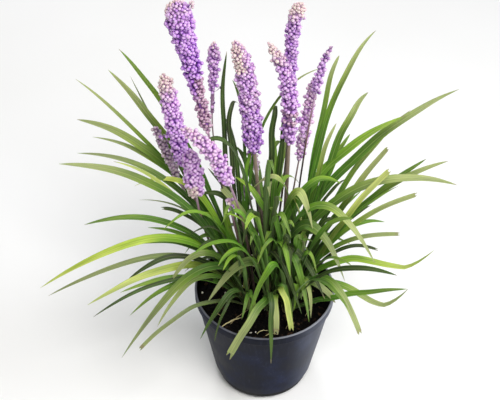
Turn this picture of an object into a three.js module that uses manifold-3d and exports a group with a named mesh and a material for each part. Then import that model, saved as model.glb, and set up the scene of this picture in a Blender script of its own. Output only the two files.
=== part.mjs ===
// Lily turf (liriope) in a plain nursery pot, in millimetres.
// Origin: centre of the face the pot stands on. +Z is up, -Y is the front.
// The plant is several tufts of strap leaves with flower spikes between them. Each tuft, flower
// stalk and flower head is one closed body; stalks and crowns stand in plain holes in the soil.

import * as THREE from 'three';
import { mergeVertices } from 'three/addons/utils/BufferGeometryUtils.js';
import Module from 'manifold-3d';

const wasm = await Module();
wasm.setup();

// ---------------------------------------------------------------- driving dimensions

const POT_HEIGHT = 112;
const RIM_RADIUS = 65;
const RIM_BAND = 9;
const RIM_STEP = 1.8;         // how far the band stands out from the wall
const RIM_FLARE = 0.2;
const RIM_EASE = 0.8;         // broken edges of the band
const BASE_RADIUS = 45;
const CORNER_RADIUS = 9;
const WALL = 1.6;
const FLOOR = 4.5;
const FLOOR_FILLET = 3.5;
const POT_SIDES = 36;

const DRAINS = 6;
const DRAIN_WIDTH = 9;
const DRAIN_DEPTH = 3;
const DRAIN_START = 17;
const DRAIN_HOLE = 3;         // radius of the hole through the floor in each slot

const SOIL_TOP = 104;
const SOIL_RELIEF = 1.2;
const SOIL_SIDES = 26;
const CLEARANCE = 0.3;
const SOIL_GAP = 0.45;        // air between the soil and the pot's faceted wall

const HOLE_FLOOR = 92;
const HOLE_TOP = 110;
const CROWN_HOLE_AIR = 0.8;
const STALK_HOLE_AIR = 1.4;

const CROWN_RADIUS = 5.5;
const CROWN_TAPER = 0.8;
const CROWN_TOP = 109;
const RUNNER_WIDTH = 5;       // the runners that join crowns, just under the soil's top
const RUNNER_TOP = 102;
const ROOT_HEIGHT = 105;
const ROOT_NEAR = 1;          // blades start this far from the crown's axis
const ROOT_FAR = 4;           // and the longest this far
const LONG_REACH = 200;

const STEM_RADIUS = 1.4;      // flower stalks at the soil, where a spike gives none of its own
const NECK_SHARE = 0.8;       // and what is left of that at the head
const STALK_BEND = 0.35;      // how much of a stalk's span runs in line with its head
const STALK_SIDES = 5;

const KEEL_DEPTH = 1.0;
const CURL_FROM = 0.75;       // share of a blade's length where a curled end starts to lift
const FILLER_RISE = 0.28;     // where along the plan way a seeded blade's arch has its crest
const BLADE_SEGMENTS = 5;

const BUD_RELIEF = 2.4;
const BUD_STRETCH = 0.96;     // distance between rings of buds, in distances round the ring
const SLIM_HEAD = 6;          // heads below this mean radius have fewer buds round them

const CHECKS_PER_SEGMENT = 7;
const CHECKS_IN_CROWN = 3;    // first checks of a blade, inside its own crown
const CHECK_RANGE = 26;       // no two checks further apart than this can touch
const BLADE_MARGIN = 0.7;     // least air between bodies of different pieces
const TRIAL_TURNS = [0, 2, -2, 4, -4, 6, -6, 8, -8, 11, -11, 14, -14];

// ---------------------------------------------------------------- the plant's plan

// Crown places on the soil. Seeded blades fill each tuft: how many, round which heading, how far
// either side of it, and how far from the pot's axis their tips reach.
const TUFTS = {
  centre: { x: 1, y: 4, fill: 5, heading: 80, spread: 180, near: 25, far: 70 },
  front: { x: 5, y: -19, fill: 4, heading: 272, spread: 50, near: 45, far: 110 },
  east: { x: 30, y: -2, fill: 3, heading: 352, spread: 30, near: 60, far: 150 },
  northeast: { x: 27, y: 20, fill: 3, heading: 42, spread: 35, near: 60, far: 170 },
  north: { x: 2, y: 31, fill: 12, heading: 98, spread: 42, near: 60, far: 180 },
  northwest: { x: -17, y: 20, fill: 5, heading: 128, spread: 35, near: 60, far: 180 },
  west: { x: -20, y: 0, fill: 3, heading: 182, spread: 25, near: 60, far: 150 },
  southwest: { x: -14, y: -17, fill: 3, heading: 225, spread: 30, near: 55, far: 140 },
  southeast: { x: 22, y: -21, fill: 4, heading: 318, spread: 30, near: 70, far: 140 },
};

// Crowns that grew from one another are joined by short runners in the soil and are one piece.
const CLUMPS = {
  middle: ['centre', 'front', 'southeast'],
  east: ['east'],
  back: ['northeast', 'north'],
  northwest: ['northwest'],
  west: ['west'],
  southwest: ['southwest'],
};

// Blades that show one by one. Tip heading (degrees about the pot's axis), tip reach from the
// axis, tip height, height of the arch's control point, width, blunt end (1) or point (0),
// sideways bow, share of the plan way where the control point stands, and how far the end curls
// up where it does.
const BLADES = {
  northwest: [
    [148, 155, 317, 274, 8, 0, 3, 0.45], [152, 160, 300, 256, 11, 0, 4, 0.47],
    [146, 149, 288, 210, 4, 0, 4, 0.6], [153, 195, 280, 240, 6, 0, 0, 0.46],
    [156, 191, 243, 256, 11, 0, 0, 0.41], [120, 74, 329, 263, 6, 0, 23, 0.47],
    [112, 89, 287, 295, 4, 0, -7, 0.31], [114, 65, 278, 323, 6, 0, 24, 0.46],
    [156, 176, 228, 240, 8, 0, -5, 0.39],
  ],
  west: [
    [167, 171, 240, 256, 9, 0, -7, 0.25], [190, 172, 279, 274, 13, 0, 11, 0.24],
    [168, 121, 210, 270, 9, 0, -4, 0.28], [170, 116, 198, 212, 3, 0, -6, 0.3],
    [188, 89, 218, 210, 8, 1, 0, 0.38], [186, 159, 200, 239, 9, 0, 8, 0.3],
    [192, 203, 146, 250, 12, 0, 4, 0.2], [192, 197, 135, 209, 8, 0, 0, 0.2],
    [196, 127, 151, 202, 8, 0, 0, 0.42], [200, 165, 141, 195, 12, 0, 1, 0.24],
  ],
  southwest: [
    [206, 164, 143, 200, 6, 0, 0, 0.3], [208, 95, 157, 236, 9, 0, 0, 0.39],
    [206, 132, 130, 196, 8, 0, 0, 0.38], [212, 148, 97, 255, 12, 0, 8, 0.18],
    [214, 113, 123, 215, 7, 0, 0, 0.45], [214, 131, 105, 155, 6, 1, -1, 0.41],
    [228, 84, 107, 180, 8, 0, 6, 0.26], [236, 78, 107, 166, 4, 0, -3, 0.4],
  ],
  centre: [
    [308, 55, 123, 232, 7, 0, -10, 0.12], [345, 42, 197, 303, 9, 0, 2, 0.45],
    [312, 61, 115, 233, 7, 0, 6, 0.41], [332, 62, 128, 232, 7, 0, -3, 0.19],
    [345, 75, 141, 272, 12, 0, 0, 0.36], [345, 100, 171, 303, 8, 0, 2, 0.29],
    [8, 169, 222, 272, 9, 0, 3, 0.3], [150, 46, 201, 145, 7, 0, 12, 0.7],
  ],
  front: [
    [250, 84, 108, 171, 8, 1, 15, 0.12], [275, 84, 102, 195, 5, 0, 0, 0.34],
    [296, 57, 112, 182, 6, 1, 0, 0.35], [282, 55, 110, 164, 6, 1, 3, 0.36],
    [304, 47, 110, 183, 5, 0, 0, 0.35],
  ],
  southeast: [
    [252, 55, 112, 247, 8, 0, 7, 0.32], [316, 59, 116, 194, 5, 0, 9, 0.46],
    [341, 68, 120, 170, 9, 1, 4, 0.12], [322, 107, 126, 217, 8, 1, 5, 0.35],
    [160, 42, 218, 199, 9, 1, 3, 0.44], [0, 1, 210, 233, 6, 0, 2, 0.36],
  ],
  east: [
    [4, 103, 249, 211, 8, 1, -4, 0.46], [10, 117, 222, 200, 4, 0, 0, 0.35],
    [2, 128, 226, 195, 7, 1, 0, 0.2], [356, 116, 191, 182, 7, 1, 3, 0.1],
    [356, 98, 171, 186, 6, 1, 0, 0.36], [5, 58, 197, 203, 7, 1, 0, 0.38],
    [354, 149, 155, 183, 9, 0, -3, 0.12, 14], [354, 132, 91, 157, 9, 0, -4, 0.12, 28],
  ],
  northeast: [
    [31, 147, 264, 231, 6, 0, 0, 0.4], [44, 122, 276, 279, 7, 0, -6, 0.43],
    [54, 101, 316, 325, 5, 0, -5, 0.44], [48, 136, 330, 322, 6, 0, -2, 0.16],
    [48, 90, 254, 247, 5, 0, -4, 0.41], [40, 95, 247, 228, 6, 0, -3, 0.42],
    [24, 115, 242, 197, 8, 1, -2, 0.51], [18, 148, 233, 191, 7, 0, -1, 0.43],
    [14, 164, 236, 221, 7, 0, -1, 0.43],
  ],
  north: [
    [28, 191, 278, 262, 10, 0, -12, 0.35], [25, 132, 273, 239, 11, 0, 3, 0.24],
    [84, 65, 273, 298, 6, 0, 2, 0.32], [78, 59, 238, 264, 6, 0, 10, 0.32],
  ],
};

// Flower spikes: where the stalk leaves the soil, where the head starts and ends, and the head's
// radius at even steps up its length. Two have a thick stem and some bend over near the tip.
const SPIKES = {
  a: {
    root: [-10, 12], neck: [-52, 28, 272], tip: [-75, 28, 396], radii: [6, 5.5, 7.5, 9.5, 13.5],
  },
  b: {
    root: [-22, 33], neck: [-50, 60, 268], tip: [-47, 52, 345], radii: [2.5, 3, 4.5, 5.5, 5],
  },
  c: {
    root: [-28, 13], neck: [-73, 22, 238], tip: [-87, 24, 332], radii: [6.5, 8, 8, 7.5, 6.5],
  },
  d: {
    root: [-33, 7], neck: [-61, -1, 224], tip: [-65, -1, 272], radii: [7, 8.5, 8.5, 7.5, 6.5],
  },
  e: {
    root: [-9, -6], neck: [-32, -15, 250], tip: [-53, -22, 314], radii: [6, 7, 7, 6.5, 5.5],
    nod: [-16, -2],
  },
  f: {
    root: [-31, 24], neck: [-79, 30, 215], tip: [-98, 29, 275], radii: [3.5, 4.5, 4.5, 4.3, 3.5],
  },
  g: {
    root: [5, 15], neck: [-12, 40, 240], tip: [-21, 46, 351], radii: [7.5, 9.2, 8.8, 8.5, 6.5],
    nod: [-8, 0], stem: 2,
  },
  h: {
    root: [7, 43], neck: [18, 60, 298], tip: [16, 63, 378], radii: [5, 5.5, 6, 6, 7.5],
    nod: [7, 0],
  },
  i: {
    root: [15, 13], neck: [18, 42, 250], tip: [18, 44, 350], radii: [6, 7.2, 7.5, 6.5, 5.5],
    nod: [-20, 2], stem: 2,
  },
  j: {
    root: [15, 43], neck: [28, 53, 222], tip: [38, 60, 308], radii: [4.5, 5.2, 5.5, 5.5, 4],
  },
  k: {
    root: [24, 47], neck: [39, 48, 300], tip: [45, 50, 346], radii: [4.5, 4.5, 4.2, 3.8, 2.5],
    nod: [6, 0],
  },
  l: {
    root: [-6, 20], neck: [-17, 53, 173], tip: [-27, 55, 198], radii: [4, 5, 5, 4.5, 4],
  },
  m: {
    root: [-9, 3], neck: [-31, -1, 208], tip: [-33, 0, 220], radii: [4, 4, 4, 4, 4],
  },
  n: {
    root: [-9, 34], neck: [-11, 70, 195], tip: [-15, 62, 225], radii: [4, 4.5, 4.5, 4.2, 3.5],
  },
};

const COLOURS = {
  pot: 0x34363d,
  soil: 0x1d1815,
  leaf: [0x4f8a2a, 0x6fa235, 0x2f5a22],
  stalk: 0x5c4038,
  bud: [0x9a5cc4, 0xb98ad8, 0x8e6aa0],
};

// ---------------------------------------------------------------- small helpers

const UP = new THREE.Vector3(0, 0, 1);
const radians = THREE.MathUtils.degToRad;

let randomState = 20250;

// A repeatable random number from 0 to 1.
function random() {
  randomState = (randomState * 1664525 + 1013904223) % 4294967296;
  return randomState / 4294967296;
}

function between(low, high) {
  return low + (high - low) * random();
}

// Closed body through rings of points that run the same way round, ends closed flat or to a point.
function loft(rings) {
  const points = [];
  const faces = [];
  const starts = rings.map((ring) => {
    const start = points.length / 3;
    ring.forEach((p) => points.push(p.x, p.y, p.z));
    return start;
  });
  for (let k = 0; k + 1 < rings.length; k += 1) {
    const n = rings[k].length;
    const m = rings[k + 1].length;
    for (let i = 0; i < n; i += 1) {
      const a = starts[k] + i;
      const b = starts[k] + ((i + 1) % n);
      if (m === 1) {
        faces.push(a, b, starts[k + 1]);
      } else {
        const c = starts[k + 1] + i;
        const d = starts[k + 1] + ((i + 1) % n);
        faces.push(a, b, d, a, d, c);
      }
    }
  }
  closeEnd(faces, starts[0], rings[0].length, true);
  closeEnd(faces, starts[starts.length - 1], rings[rings.length - 1].length, false);
  return bodyFrom(points, faces);
}

function closeEnd(faces, start, count, reversed) {
  for (let i = 1; i + 1 < count; i += 1) {
    if (reversed) {
      faces.push(start, start + i + 1, start + i);
    } else {
      faces.push(start, start + i, start + i + 1);
    }
  }
}

function bodyFrom(points, faces) {
  return new wasm.Manifold(new wasm.Mesh({
    numProp: 3,
    vertProperties: Float32Array.from(points),
    triVerts: Uint32Array.from(faces),
  }));
}

// A three.js geometry as a solid that can be joined and cut.
function solid(geometry) {
  const plain = geometry.clone();
  plain.deleteAttribute('normal');
  plain.deleteAttribute('uv');
  const merged = mergeVertices(plain, 1e-4);
  return bodyFrom(merged.attributes.position.array, merged.index.array);
}

// A round pin along +Z between two heights.
function pin(x, y, low, high, radius, sides) {
  const geometry = new THREE.CylinderGeometry(radius, radius, high - low, sides);
  geometry.rotateX(Math.PI / 2);
  geometry.translate(x, y, (low + high) / 2);
  return solid(geometry);
}

// The faces of the largest shell: blades that cross can shut in small hollows, which are filled
// by leaving their walls out.
function outerFaces(faces, pointCount) {
  const shell = Uint32Array.from({ length: pointCount }, (_, i) => i);
  const find = (i) => {
    let at = i;
    while (shell[at] !== at) {
      shell[at] = shell[shell[at]];
      at = shell[at];
    }
    return at;
  };
  for (let i = 0; i < faces.length; i += 3) {
    shell[find(faces[i])] = find(faces[i + 1]);
    shell[find(faces[i + 1])] = find(faces[i + 2]);
  }
  const groups = new Map();
  for (let i = 0; i < faces.length; i += 3) {
    const key = find(faces[i]);
    if (!groups.has(key)) {
      groups.set(key, []);
    }
    groups.get(key).push(faces[i], faces[i + 1], faces[i + 2]);
  }
  const bySize = [...groups.values()].sort((a, b) => b.length - a.length);
  return Uint32Array.from(bySize[0]);
}

function meshOf(name, body, colour, roughness) {
  const mesh = body.getMesh();
  const loose = new THREE.BufferGeometry();
  loose.setAttribute('position', new THREE.BufferAttribute(mesh.vertProperties, 3));
  loose.setIndex(new THREE.BufferAttribute(outerFaces(mesh.triVerts, mesh.numVert), 1));
  const geometry = mergeVertices(loose, 1e-6);
  geometry.computeVertexNormals();
  const material = new THREE.MeshStandardMaterial({ color: colour, roughness, metalness: 0 });
  const part = new THREE.Mesh(geometry, material);
  part.name = name;
  return part;
}

// ---------------------------------------------------------------- pot and soil

// Outer radius of the pot's wall at a height, below the rim band.
function wallRadius(z) {
  const top = RIM_RADIUS - RIM_STEP;
  return BASE_RADIUS + ((top - BASE_RADIUS) * z) / (POT_HEIGHT - RIM_BAND);
}

function innerRadius(z) {
  return wallRadius(z) - WALL;
}

// The rounded edge between the floor and the wall, as points on an arc.
function cornerArc(radius, centreR, centreZ, steps) {
  const arc = [];
  for (let i = 0; i <= steps; i += 1) {
    const angle = -Math.PI / 2 + (i / steps) * radians(80);
    arc.push([centreR + radius * Math.cos(angle), centreZ + radius * Math.sin(angle)]);
  }
  return arc;
}

function buildPot() {
  const bandFoot = POT_HEIGHT - RIM_BAND;
  const outline = [
    [0, 0],
    ...cornerArc(CORNER_RADIUS, BASE_RADIUS - CORNER_RADIUS, CORNER_RADIUS, 4),
    [wallRadius(bandFoot), bandFoot],
    [RIM_RADIUS, bandFoot + RIM_EASE],
    [RIM_RADIUS + RIM_FLARE, POT_HEIGHT - RIM_EASE],
    [RIM_RADIUS + RIM_FLARE - RIM_EASE, POT_HEIGHT],
    [innerRadius(POT_HEIGHT) + RIM_EASE / 2, POT_HEIGHT],
    [innerRadius(POT_HEIGHT - RIM_EASE), POT_HEIGHT - RIM_EASE],
    [innerRadius(CORNER_RADIUS), CORNER_RADIUS],
    [innerRadius(FLOOR) - FLOOR_FILLET, FLOOR],
    [0, FLOOR],
  ];
  const lathe = new THREE.LatheGeometry(outline.map(([r, z]) => new THREE.Vector2(r, z)), POT_SIDES);
  lathe.rotateX(Math.PI / 2);
  let pot = solid(lathe);
  for (let i = 0; i < DRAINS; i += 1) {
    const angle = radians(270 + (360 * i) / DRAINS);
    const length = BASE_RADIUS + DRAIN_WIDTH - DRAIN_START;
    const slot = new THREE.BoxGeometry(length, DRAIN_WIDTH, 2 * DRAIN_DEPTH);
    slot.translate(DRAIN_START + length / 2, 0, 0);
    slot.rotateZ(angle);
    pot = pot.subtract(solid(slot));
    const reach = BASE_RADIUS - CORNER_RADIUS - DRAIN_HOLE - 1;
    const [x, y] = [reach * Math.cos(angle), reach * Math.sin(angle)];
    pot = pot.subtract(pin(x, y, 1, FLOOR + 2, DRAIN_HOLE, 10));
  }
  return pot;
}

// Height of the soil's crumbly top.
function soilHeight(x, y) {
  const broad = Math.sin(x * 0.16 + 1.3) * Math.cos(y * 0.19 - 0.4);
  const crumbs = Math.sin(x * 0.61 + y * 0.35) * Math.sin(y * 0.57 - x * 0.22 + 2);
  return SOIL_TOP + SOIL_RELIEF * (0.45 * broad + 0.55 * crumbs);
}

function buildSoil() {
  const ringAt = (radius, height) => {
    const ring = [];
    for (let i = 0; i < SOIL_SIDES; i += 1) {
      const angle = (2 * Math.PI * i) / SOIL_SIDES;
      const x = radius * Math.cos(angle);
      const y = radius * Math.sin(angle);
      ring.push(new THREE.Vector3(x, y, height === null ? soilHeight(x, y) : height));
    }
    return ring;
  };
  const edgeHeight = SOIL_TOP - 4;
  const edgeRadius = innerRadius(edgeHeight) - SOIL_GAP;
  const rings = [
    ringAt(innerRadius(FLOOR) - FLOOR_FILLET - SOIL_GAP, FLOOR + CLEARANCE),
    ringAt(innerRadius(CORNER_RADIUS) - SOIL_GAP, CORNER_RADIUS + SOIL_GAP),
    ringAt(edgeRadius, edgeHeight),
  ];
  for (const share of [0.985, 0.84, 0.68, 0.5, 0.3]) {
    rings.push(ringAt(edgeRadius * share, null));
  }
  rings.push([new THREE.Vector3(0, 0, soilHeight(0, 0))]);
  let soil = loft(rings);
  for (const tuft of Object.values(TUFTS)) {
    const radius = CROWN_RADIUS + CROWN_HOLE_AIR;
    soil = soil.subtract(pin(tuft.x, tuft.y, HOLE_FLOOR, HOLE_TOP, radius, 7));
  }
  for (const [from, to] of Object.values(CLUMPS).flatMap(runnersOf)) {
    soil = soil.subtract(runner(from, to, HOLE_FLOOR, HOLE_TOP, RUNNER_WIDTH + 2 * CROWN_HOLE_AIR));
  }
  for (const spike of Object.values(SPIKES)) {
    const radius = stemRadius(spike, 0) + STALK_HOLE_AIR;
    soil = soil.subtract(pin(...spike.root, HOLE_FLOOR, HOLE_TOP, radius, STALK_SIDES));
  }
  return soil;
}

// The pairs of neighbouring crowns in one clump.
function runnersOf(names) {
  return names.slice(1).map((name, i) => [TUFTS[names[i]], TUFTS[name]]);
}

// A straight bar between two crowns' axes.
function runner(from, to, low, high, width) {
  const [dx, dy] = [to.x - from.x, to.y - from.y];
  const bar = new THREE.BoxGeometry(Math.hypot(dx, dy), width, high - low);
  bar.rotateZ(Math.atan2(dy, dx));
  bar.translate((from.x + to.x) / 2, (from.y + to.y) / 2, (low + high) / 2);
  return solid(bar);
}

// ---------------------------------------------------------------- flower spikes

function spikeAxis(spike) {
  const neck = new THREE.Vector3(...spike.neck);
  const tip = new THREE.Vector3(...spike.tip);
  const way = tip.clone().sub(neck);
  const heading = way.clone().normalize();
  const root = new THREE.Vector3(...spike.root, ROOT_HEIGHT);
  const control = neck.clone().addScaledVector(heading, -STALK_BEND * neck.distanceTo(root));
  const nod = spike.nod ?? [0, 0];
  const stalk = new THREE.QuadraticBezierCurve3(root, control, neck);
  const head = (t) => new THREE.Vector3(
    neck.x + way.x * t + nod[0] * t ** 4,
    neck.y + way.y * t + nod[1] * t ** 4,
    neck.z + way.z * t,
  );
  return { stalk, head, heading, length: way.length() };
}

function stemRadius(spike, t) {
  return (spike.stem ?? STEM_RADIUS) * (1 + (NECK_SHARE - 1) * t);
}

// Outline of a head: narrow foot, even middle, rounded tip.
function headRadius(spike, t) {
  const last = spike.radii.length - 1;
  const k = Math.min(last - 1, Math.floor(t * last));
  const even = spike.radii[k] + (spike.radii[k + 1] - spike.radii[k]) * (t * last - k);
  const foot = Math.min(1, 0.6 + 5 * t);
  const crest = Math.sqrt(Math.max(0, 1 - Math.max(0, (t - 0.86) / 0.14) ** 2));
  return even * foot * (0.35 + 0.65 * crest);
}

function ringAround(centre, heading, radius, sides, phase) {
  const right = new THREE.Vector3().crossVectors(new THREE.Vector3(0, 1, 0), heading).normalize();
  const front = new THREE.Vector3().crossVectors(heading, right);
  const ring = [];
  for (let i = 0; i < sides; i += 1) {
    const angle = (2 * Math.PI * (i + phase)) / sides;
    const r = typeof radius === 'function' ? radius(i) : radius;
    ring.push(centre.clone()
      .addScaledVector(right, r * Math.cos(angle))
      .addScaledVector(front, r * Math.sin(angle)));
  }
  return ring;
}

// A stalk stands upright in its hole and leans once it is out of the soil.
function buildStalk(spike) {
  const { stalk } = spikeAxis(spike);
  const steps = 5;
  const foot = new THREE.Vector3(...spike.root, HOLE_FLOOR + CLEARANCE);
  const rings = [ringAround(foot, UP, stemRadius(spike, 0), STALK_SIDES, 0)];
  for (let k = 0; k <= steps; k += 1) {
    const t = k / steps;
    rings.push(ringAround(stalk.getPoint(t), stalk.getTangent(t), stemRadius(spike, t), STALK_SIDES, 0));
  }
  return loft(rings);
}

// A head is a slim core whose surface is raised into packed buds: on a grid of staggered rings
// every third point is a bud's top and its six neighbours lie in the valley round it.
function buildHead(spike) {
  const { head, heading, length } = spikeAxis(spike);
  const mean = spike.radii.reduce((sum, r) => sum + r, 0) / spike.radii.length;
  const sides = mean > SLIM_HEAD ? 12 : 9;
  const rows = Math.max(4, Math.round(length / ((BUD_STRETCH * 2 * Math.PI * mean) / sides)));
  const points = [];
  const faces = [];
  for (let j = 0; j <= rows; j += 1) {
    const t = j / rows;
    const shift = CLEARANCE * (1 - t);
    const centre = head(t).addScaledVector(heading, shift);
    const radius = headRadius(spike, t);
    const valley = Math.max(radius - BUD_RELIEF, 0.45 * radius);
    const isEnd = j === 0 || j === rows;
    const ring = ringAround(centre, heading, (i) => {
      const column = i - (j - (j % 2)) / 2;
      const isBud = (((column - j) % 3) + 3) % 3 === 0;
      return isBud && !isEnd ? radius : valley;
    }, sides, (j % 2) / 2);
    ring.forEach((p) => points.push(p.x, p.y, p.z));
  }
  for (let j = 0; j < rows; j += 1) {
    for (let i = 0; i < sides; i += 1) {
      const next = (i + 1) % sides;
      const a = j * sides + i;
      const b = j * sides + next;
      const c = (j + 1) * sides + i;
      const d = (j + 1) * sides + next;
      if (j % 2 === 0) {
        faces.push(a, b, c, b, d, c);
      } else {
        faces.push(a, b, d, a, d, c);
      }
    }
  }
  closeEnd(faces, 0, sides, true);
  closeEnd(faces, rows * sides, sides, false);
  return bodyFrom(points, faces);
}

// ---------------------------------------------------------------- blades

// Half the width of a blade at a share s of its length.
function halfWidth(width, blunt, s) {
  const foot = Math.min(1, 0.55 + 1.1 * s);
  const point = blunt ? 1 - 0.15 * s : 1 - Math.max(0, (s - 0.45) / 0.55) ** 3;
  return (width / 2) * foot * point;
}

// The stations of one blade: a rise from the crown and an arch out to the tip.
function bladeStations(tuft, row, turn) {
  const [heading, reach, height, crest, width, blunt, bow, rise, curl = 0] = row;
  const angle = radians(heading + turn);
  const tip = new THREE.Vector3(reach * Math.cos(angle), reach * Math.sin(angle), height);
  const out = new THREE.Vector3(tip.x - tuft.x, tip.y - tuft.y, 0);
  const across = new THREE.Vector3(-out.y, out.x, 0).normalize();
  const offset = ROOT_NEAR + (ROOT_FAR - ROOT_NEAR) * Math.min(1, out.length() / LONG_REACH);
  const start = out.clone().normalize().multiplyScalar(offset);
  const root = new THREE.Vector3(tuft.x + start.x, tuft.y + start.y, ROOT_HEIGHT);
  const control = root.clone().addScaledVector(out, rise).addScaledVector(across, bow);
  control.z = crest;
  const curve = new THREE.QuadraticBezierCurve3(root, control, tip);
  const stations = [];
  for (let k = 0; k <= BLADE_SEGMENTS; k += 1) {
    const s = k / BLADE_SEGMENTS;
    const along = curve.getTangent(s);
    const side = new THREE.Vector3().crossVectors(UP, along).normalize();
    const face = new THREE.Vector3().crossVectors(along, side);
    const w = halfWidth(width, blunt, s);
    const depth = KEEL_DEPTH * (1 - 0.35 * s);
    const point = curve.getPoint(s);
    point.z += curl * Math.max(0, (s - CURL_FROM) / (1 - CURL_FROM)) ** 2;
    stations.push({ point, along, side, face, w, depth });
  }
  return stations;
}

function bladeBody(stations) {
  const rings = stations.map(({ point, side, face, w, depth }) => [
    point.clone().addScaledVector(side, w),
    point.clone().addScaledVector(side, -w),
    point.clone().addScaledVector(face, -depth),
  ]);
  const last = stations[stations.length - 1];
  if (last.w < 0.2) {
    rings[rings.length - 1] = [last.point.clone()];
  }
  return loft(rings);
}

// ---------------------------------------------------------------- keeping the pieces apart

// Points along a blade with the half sizes of the flat box that each stands for.
function bladeChecks(stations) {
  const checks = [];
  for (let k = 0; k + 1 < stations.length; k += 1) {
    const a = stations[k];
    const b = stations[k + 1];
    const half = a.point.distanceTo(b.point) / CHECKS_PER_SEGMENT / 2;
    for (let i = 0; i < CHECKS_PER_SEGMENT; i += 1) {
      const t = (i + 0.5) / CHECKS_PER_SEGMENT;
      checks.push({
        point: a.point.clone().lerp(b.point, t),
        axes: [
          a.side.clone().lerp(b.side, t).normalize(),
          a.face.clone().lerp(b.face, t).normalize(),
          b.point.clone().sub(a.point).normalize(),
        ],
        sizes: [a.w + (b.w - a.w) * t, a.depth, half],
        round: 0,
      });
    }
  }
  return checks;
}

function roundChecks(points, radii) {
  return points.map((point, i) => ({ point, axes: [], sizes: [], round: radii[i] }));
}

function reachAlong(check, direction) {
  return check.axes.reduce(
    (sum, axis, i) => sum + check.sizes[i] * Math.abs(axis.dot(direction)),
    check.round,
  );
}

function touches(checks, others) {
  const way = new THREE.Vector3();
  for (const a of checks) {
    for (const b of others) {
      way.subVectors(a.point, b.point);
      const distance = way.length();
      if (distance < CHECK_RANGE) {
        way.divideScalar(distance);
        if (distance < reachAlong(a, way) + reachAlong(b, way) + BLADE_MARGIN) {
          return true;
        }
      }
    }
  }
  return false;
}

// True where a blade would run into the pot or the soil.
function hitsPot(checks) {
  return checks.some((check) => {
    const { point } = check;
    const outward = new THREE.Vector3(point.x, point.y, 0).normalize();
    const wide = reachAlong(check, outward) + BLADE_MARGIN;
    const tall = reachAlong(check, UP) + BLADE_MARGIN;
    const r = Math.hypot(point.x, point.y);
    const overWall = r + wide > innerRadius(SOIL_TOP) && r - wide < RIM_RADIUS + 0.5;
    const bottom = point.z - tall;
    const inSoil = r < innerRadius(SOIL_TOP) && bottom < SOIL_TOP + SOIL_RELIEF;
    return (overWall && bottom < POT_HEIGHT) || inSoil;
  });
}

function spikeChecks(spike) {
  const { stalk, head } = spikeAxis(spike);
  const shares = Array.from({ length: 41 }, (_, i) => i / 40);
  return [
    ...roundChecks(shares.map((t) => stalk.getPoint(t)), shares.map((t) => stemRadius(spike, t))),
    ...roundChecks(shares.map((t) => head(t)), shares.map((t) => headRadius(spike, t))),
  ];
}

function crownChecks(tuft) {
  const heights = [0, 2, 4, 6].map((rise) => SOIL_TOP + rise);
  return roundChecks(
    heights.map((z) => new THREE.Vector3(tuft.x, tuft.y, z)),
    heights.map(() => CROWN_RADIUS),
  );
}

// A seeded blade that fills its tuft: those that reach out further end lower.
function fillerRow(tuft) {
  const heading = tuft.heading + tuft.spread * between(-1, 1);
  const reach = between(tuft.near, tuft.far);
  const height = 315 - 0.85 * reach + between(-60, 20);
  const crest = height + between(-30, 50);
  return [heading, reach, height, crest, between(5, 9), 0, between(-8, 8), FILLER_RISE];
}

// Every blade finds a heading near its own where it clears the pot, the spikes and the other
// tufts; a seeded blade that finds none is left out.
function placeBlades() {
  const fixed = Object.values(SPIKES).flatMap(spikeChecks);
  const placed = Object.fromEntries(Object.keys(TUFTS).map((name) => [name, []]));
  const rows = [];
  for (const [name, list] of Object.entries(BLADES)) {
    list.forEach((row) => rows.push([name, row]));
  }
  for (const [name, tuft] of Object.entries(TUFTS)) {
    for (let i = 0; i < tuft.fill; i += 1) {
      rows.push([name, fillerRow(tuft)]);
    }
  }
  for (const [name, row] of rows) {
    const own = Object.values(CLUMPS).find((names) => names.includes(name));
    const others = Object.keys(TUFTS).filter((other) => !own.includes(other));
    const crowns = others.flatMap((other) => crownChecks(TUFTS[other]));
    const obstacles = others.flatMap((other) => placed[other].map((blade) => blade.checks));
    for (const turn of TRIAL_TURNS) {
      const stations = bladeStations(TUFTS[name], row, turn);
      const checks = bladeChecks(stations);
      const beyondCrown = checks.slice(CHECKS_IN_CROWN);
      if (!hitsPot(beyondCrown) && !touches(checks, fixed) && !touches(checks, crowns)
        && !obstacles.some((blade) => touches(checks, blade))) {
        placed[name].push({ stations, checks });
        break;
      }
    }
  }
  return placed;
}

function buildTuft(tuft, blades) {
  const foot = HOLE_FLOOR + CLEARANCE;
  const crown = new THREE.CylinderGeometry(CROWN_RADIUS * CROWN_TAPER, CROWN_RADIUS, CROWN_TOP - foot, 8);
  crown.rotateX(Math.PI / 2);
  crown.translate(tuft.x, tuft.y, (CROWN_TOP + foot) / 2);
  return blades.reduce((body, blade) => body.add(bladeBody(blade.stations)), solid(crown));
}

function buildClump(names, placed) {
  const foot = HOLE_FLOOR + CLEARANCE;
  const tufts = names.map((name) => buildTuft(TUFTS[name], placed[name]));
  const runners = runnersOf(names).map(([a, b]) => runner(a, b, foot, RUNNER_TOP, RUNNER_WIDTH));
  return [...tufts, ...runners].reduce((body, piece) => body.add(piece));
}

// ---------------------------------------------------------------- the whole plant

const plant = new THREE.Group();
plant.add(meshOf('pot', buildPot(), COLOURS.pot, 0.55));
plant.add(meshOf('soil', buildSoil(), COLOURS.soil, 0.95));

const placed = placeBlades();
Object.entries(CLUMPS).forEach(([name, names], i) => {
  plant.add(meshOf(`tuft_${name}`, buildClump(names, placed), COLOURS.leaf[i % 3], 0.5));
});

Object.entries(SPIKES).forEach(([name, spike], i) => {
  plant.add(meshOf(`stalk_${name}`, buildStalk(spike), COLOURS.stalk, 0.6));
  plant.add(meshOf(`head_${name}`, buildHead(spike), COLOURS.bud[i % 3], 0.6));
});

export default plant;
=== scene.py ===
"""Lily turf in a plain nursery pot: fine leaves, flower heads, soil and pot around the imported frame."""

import math
import random
from collections import namedtuple

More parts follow.
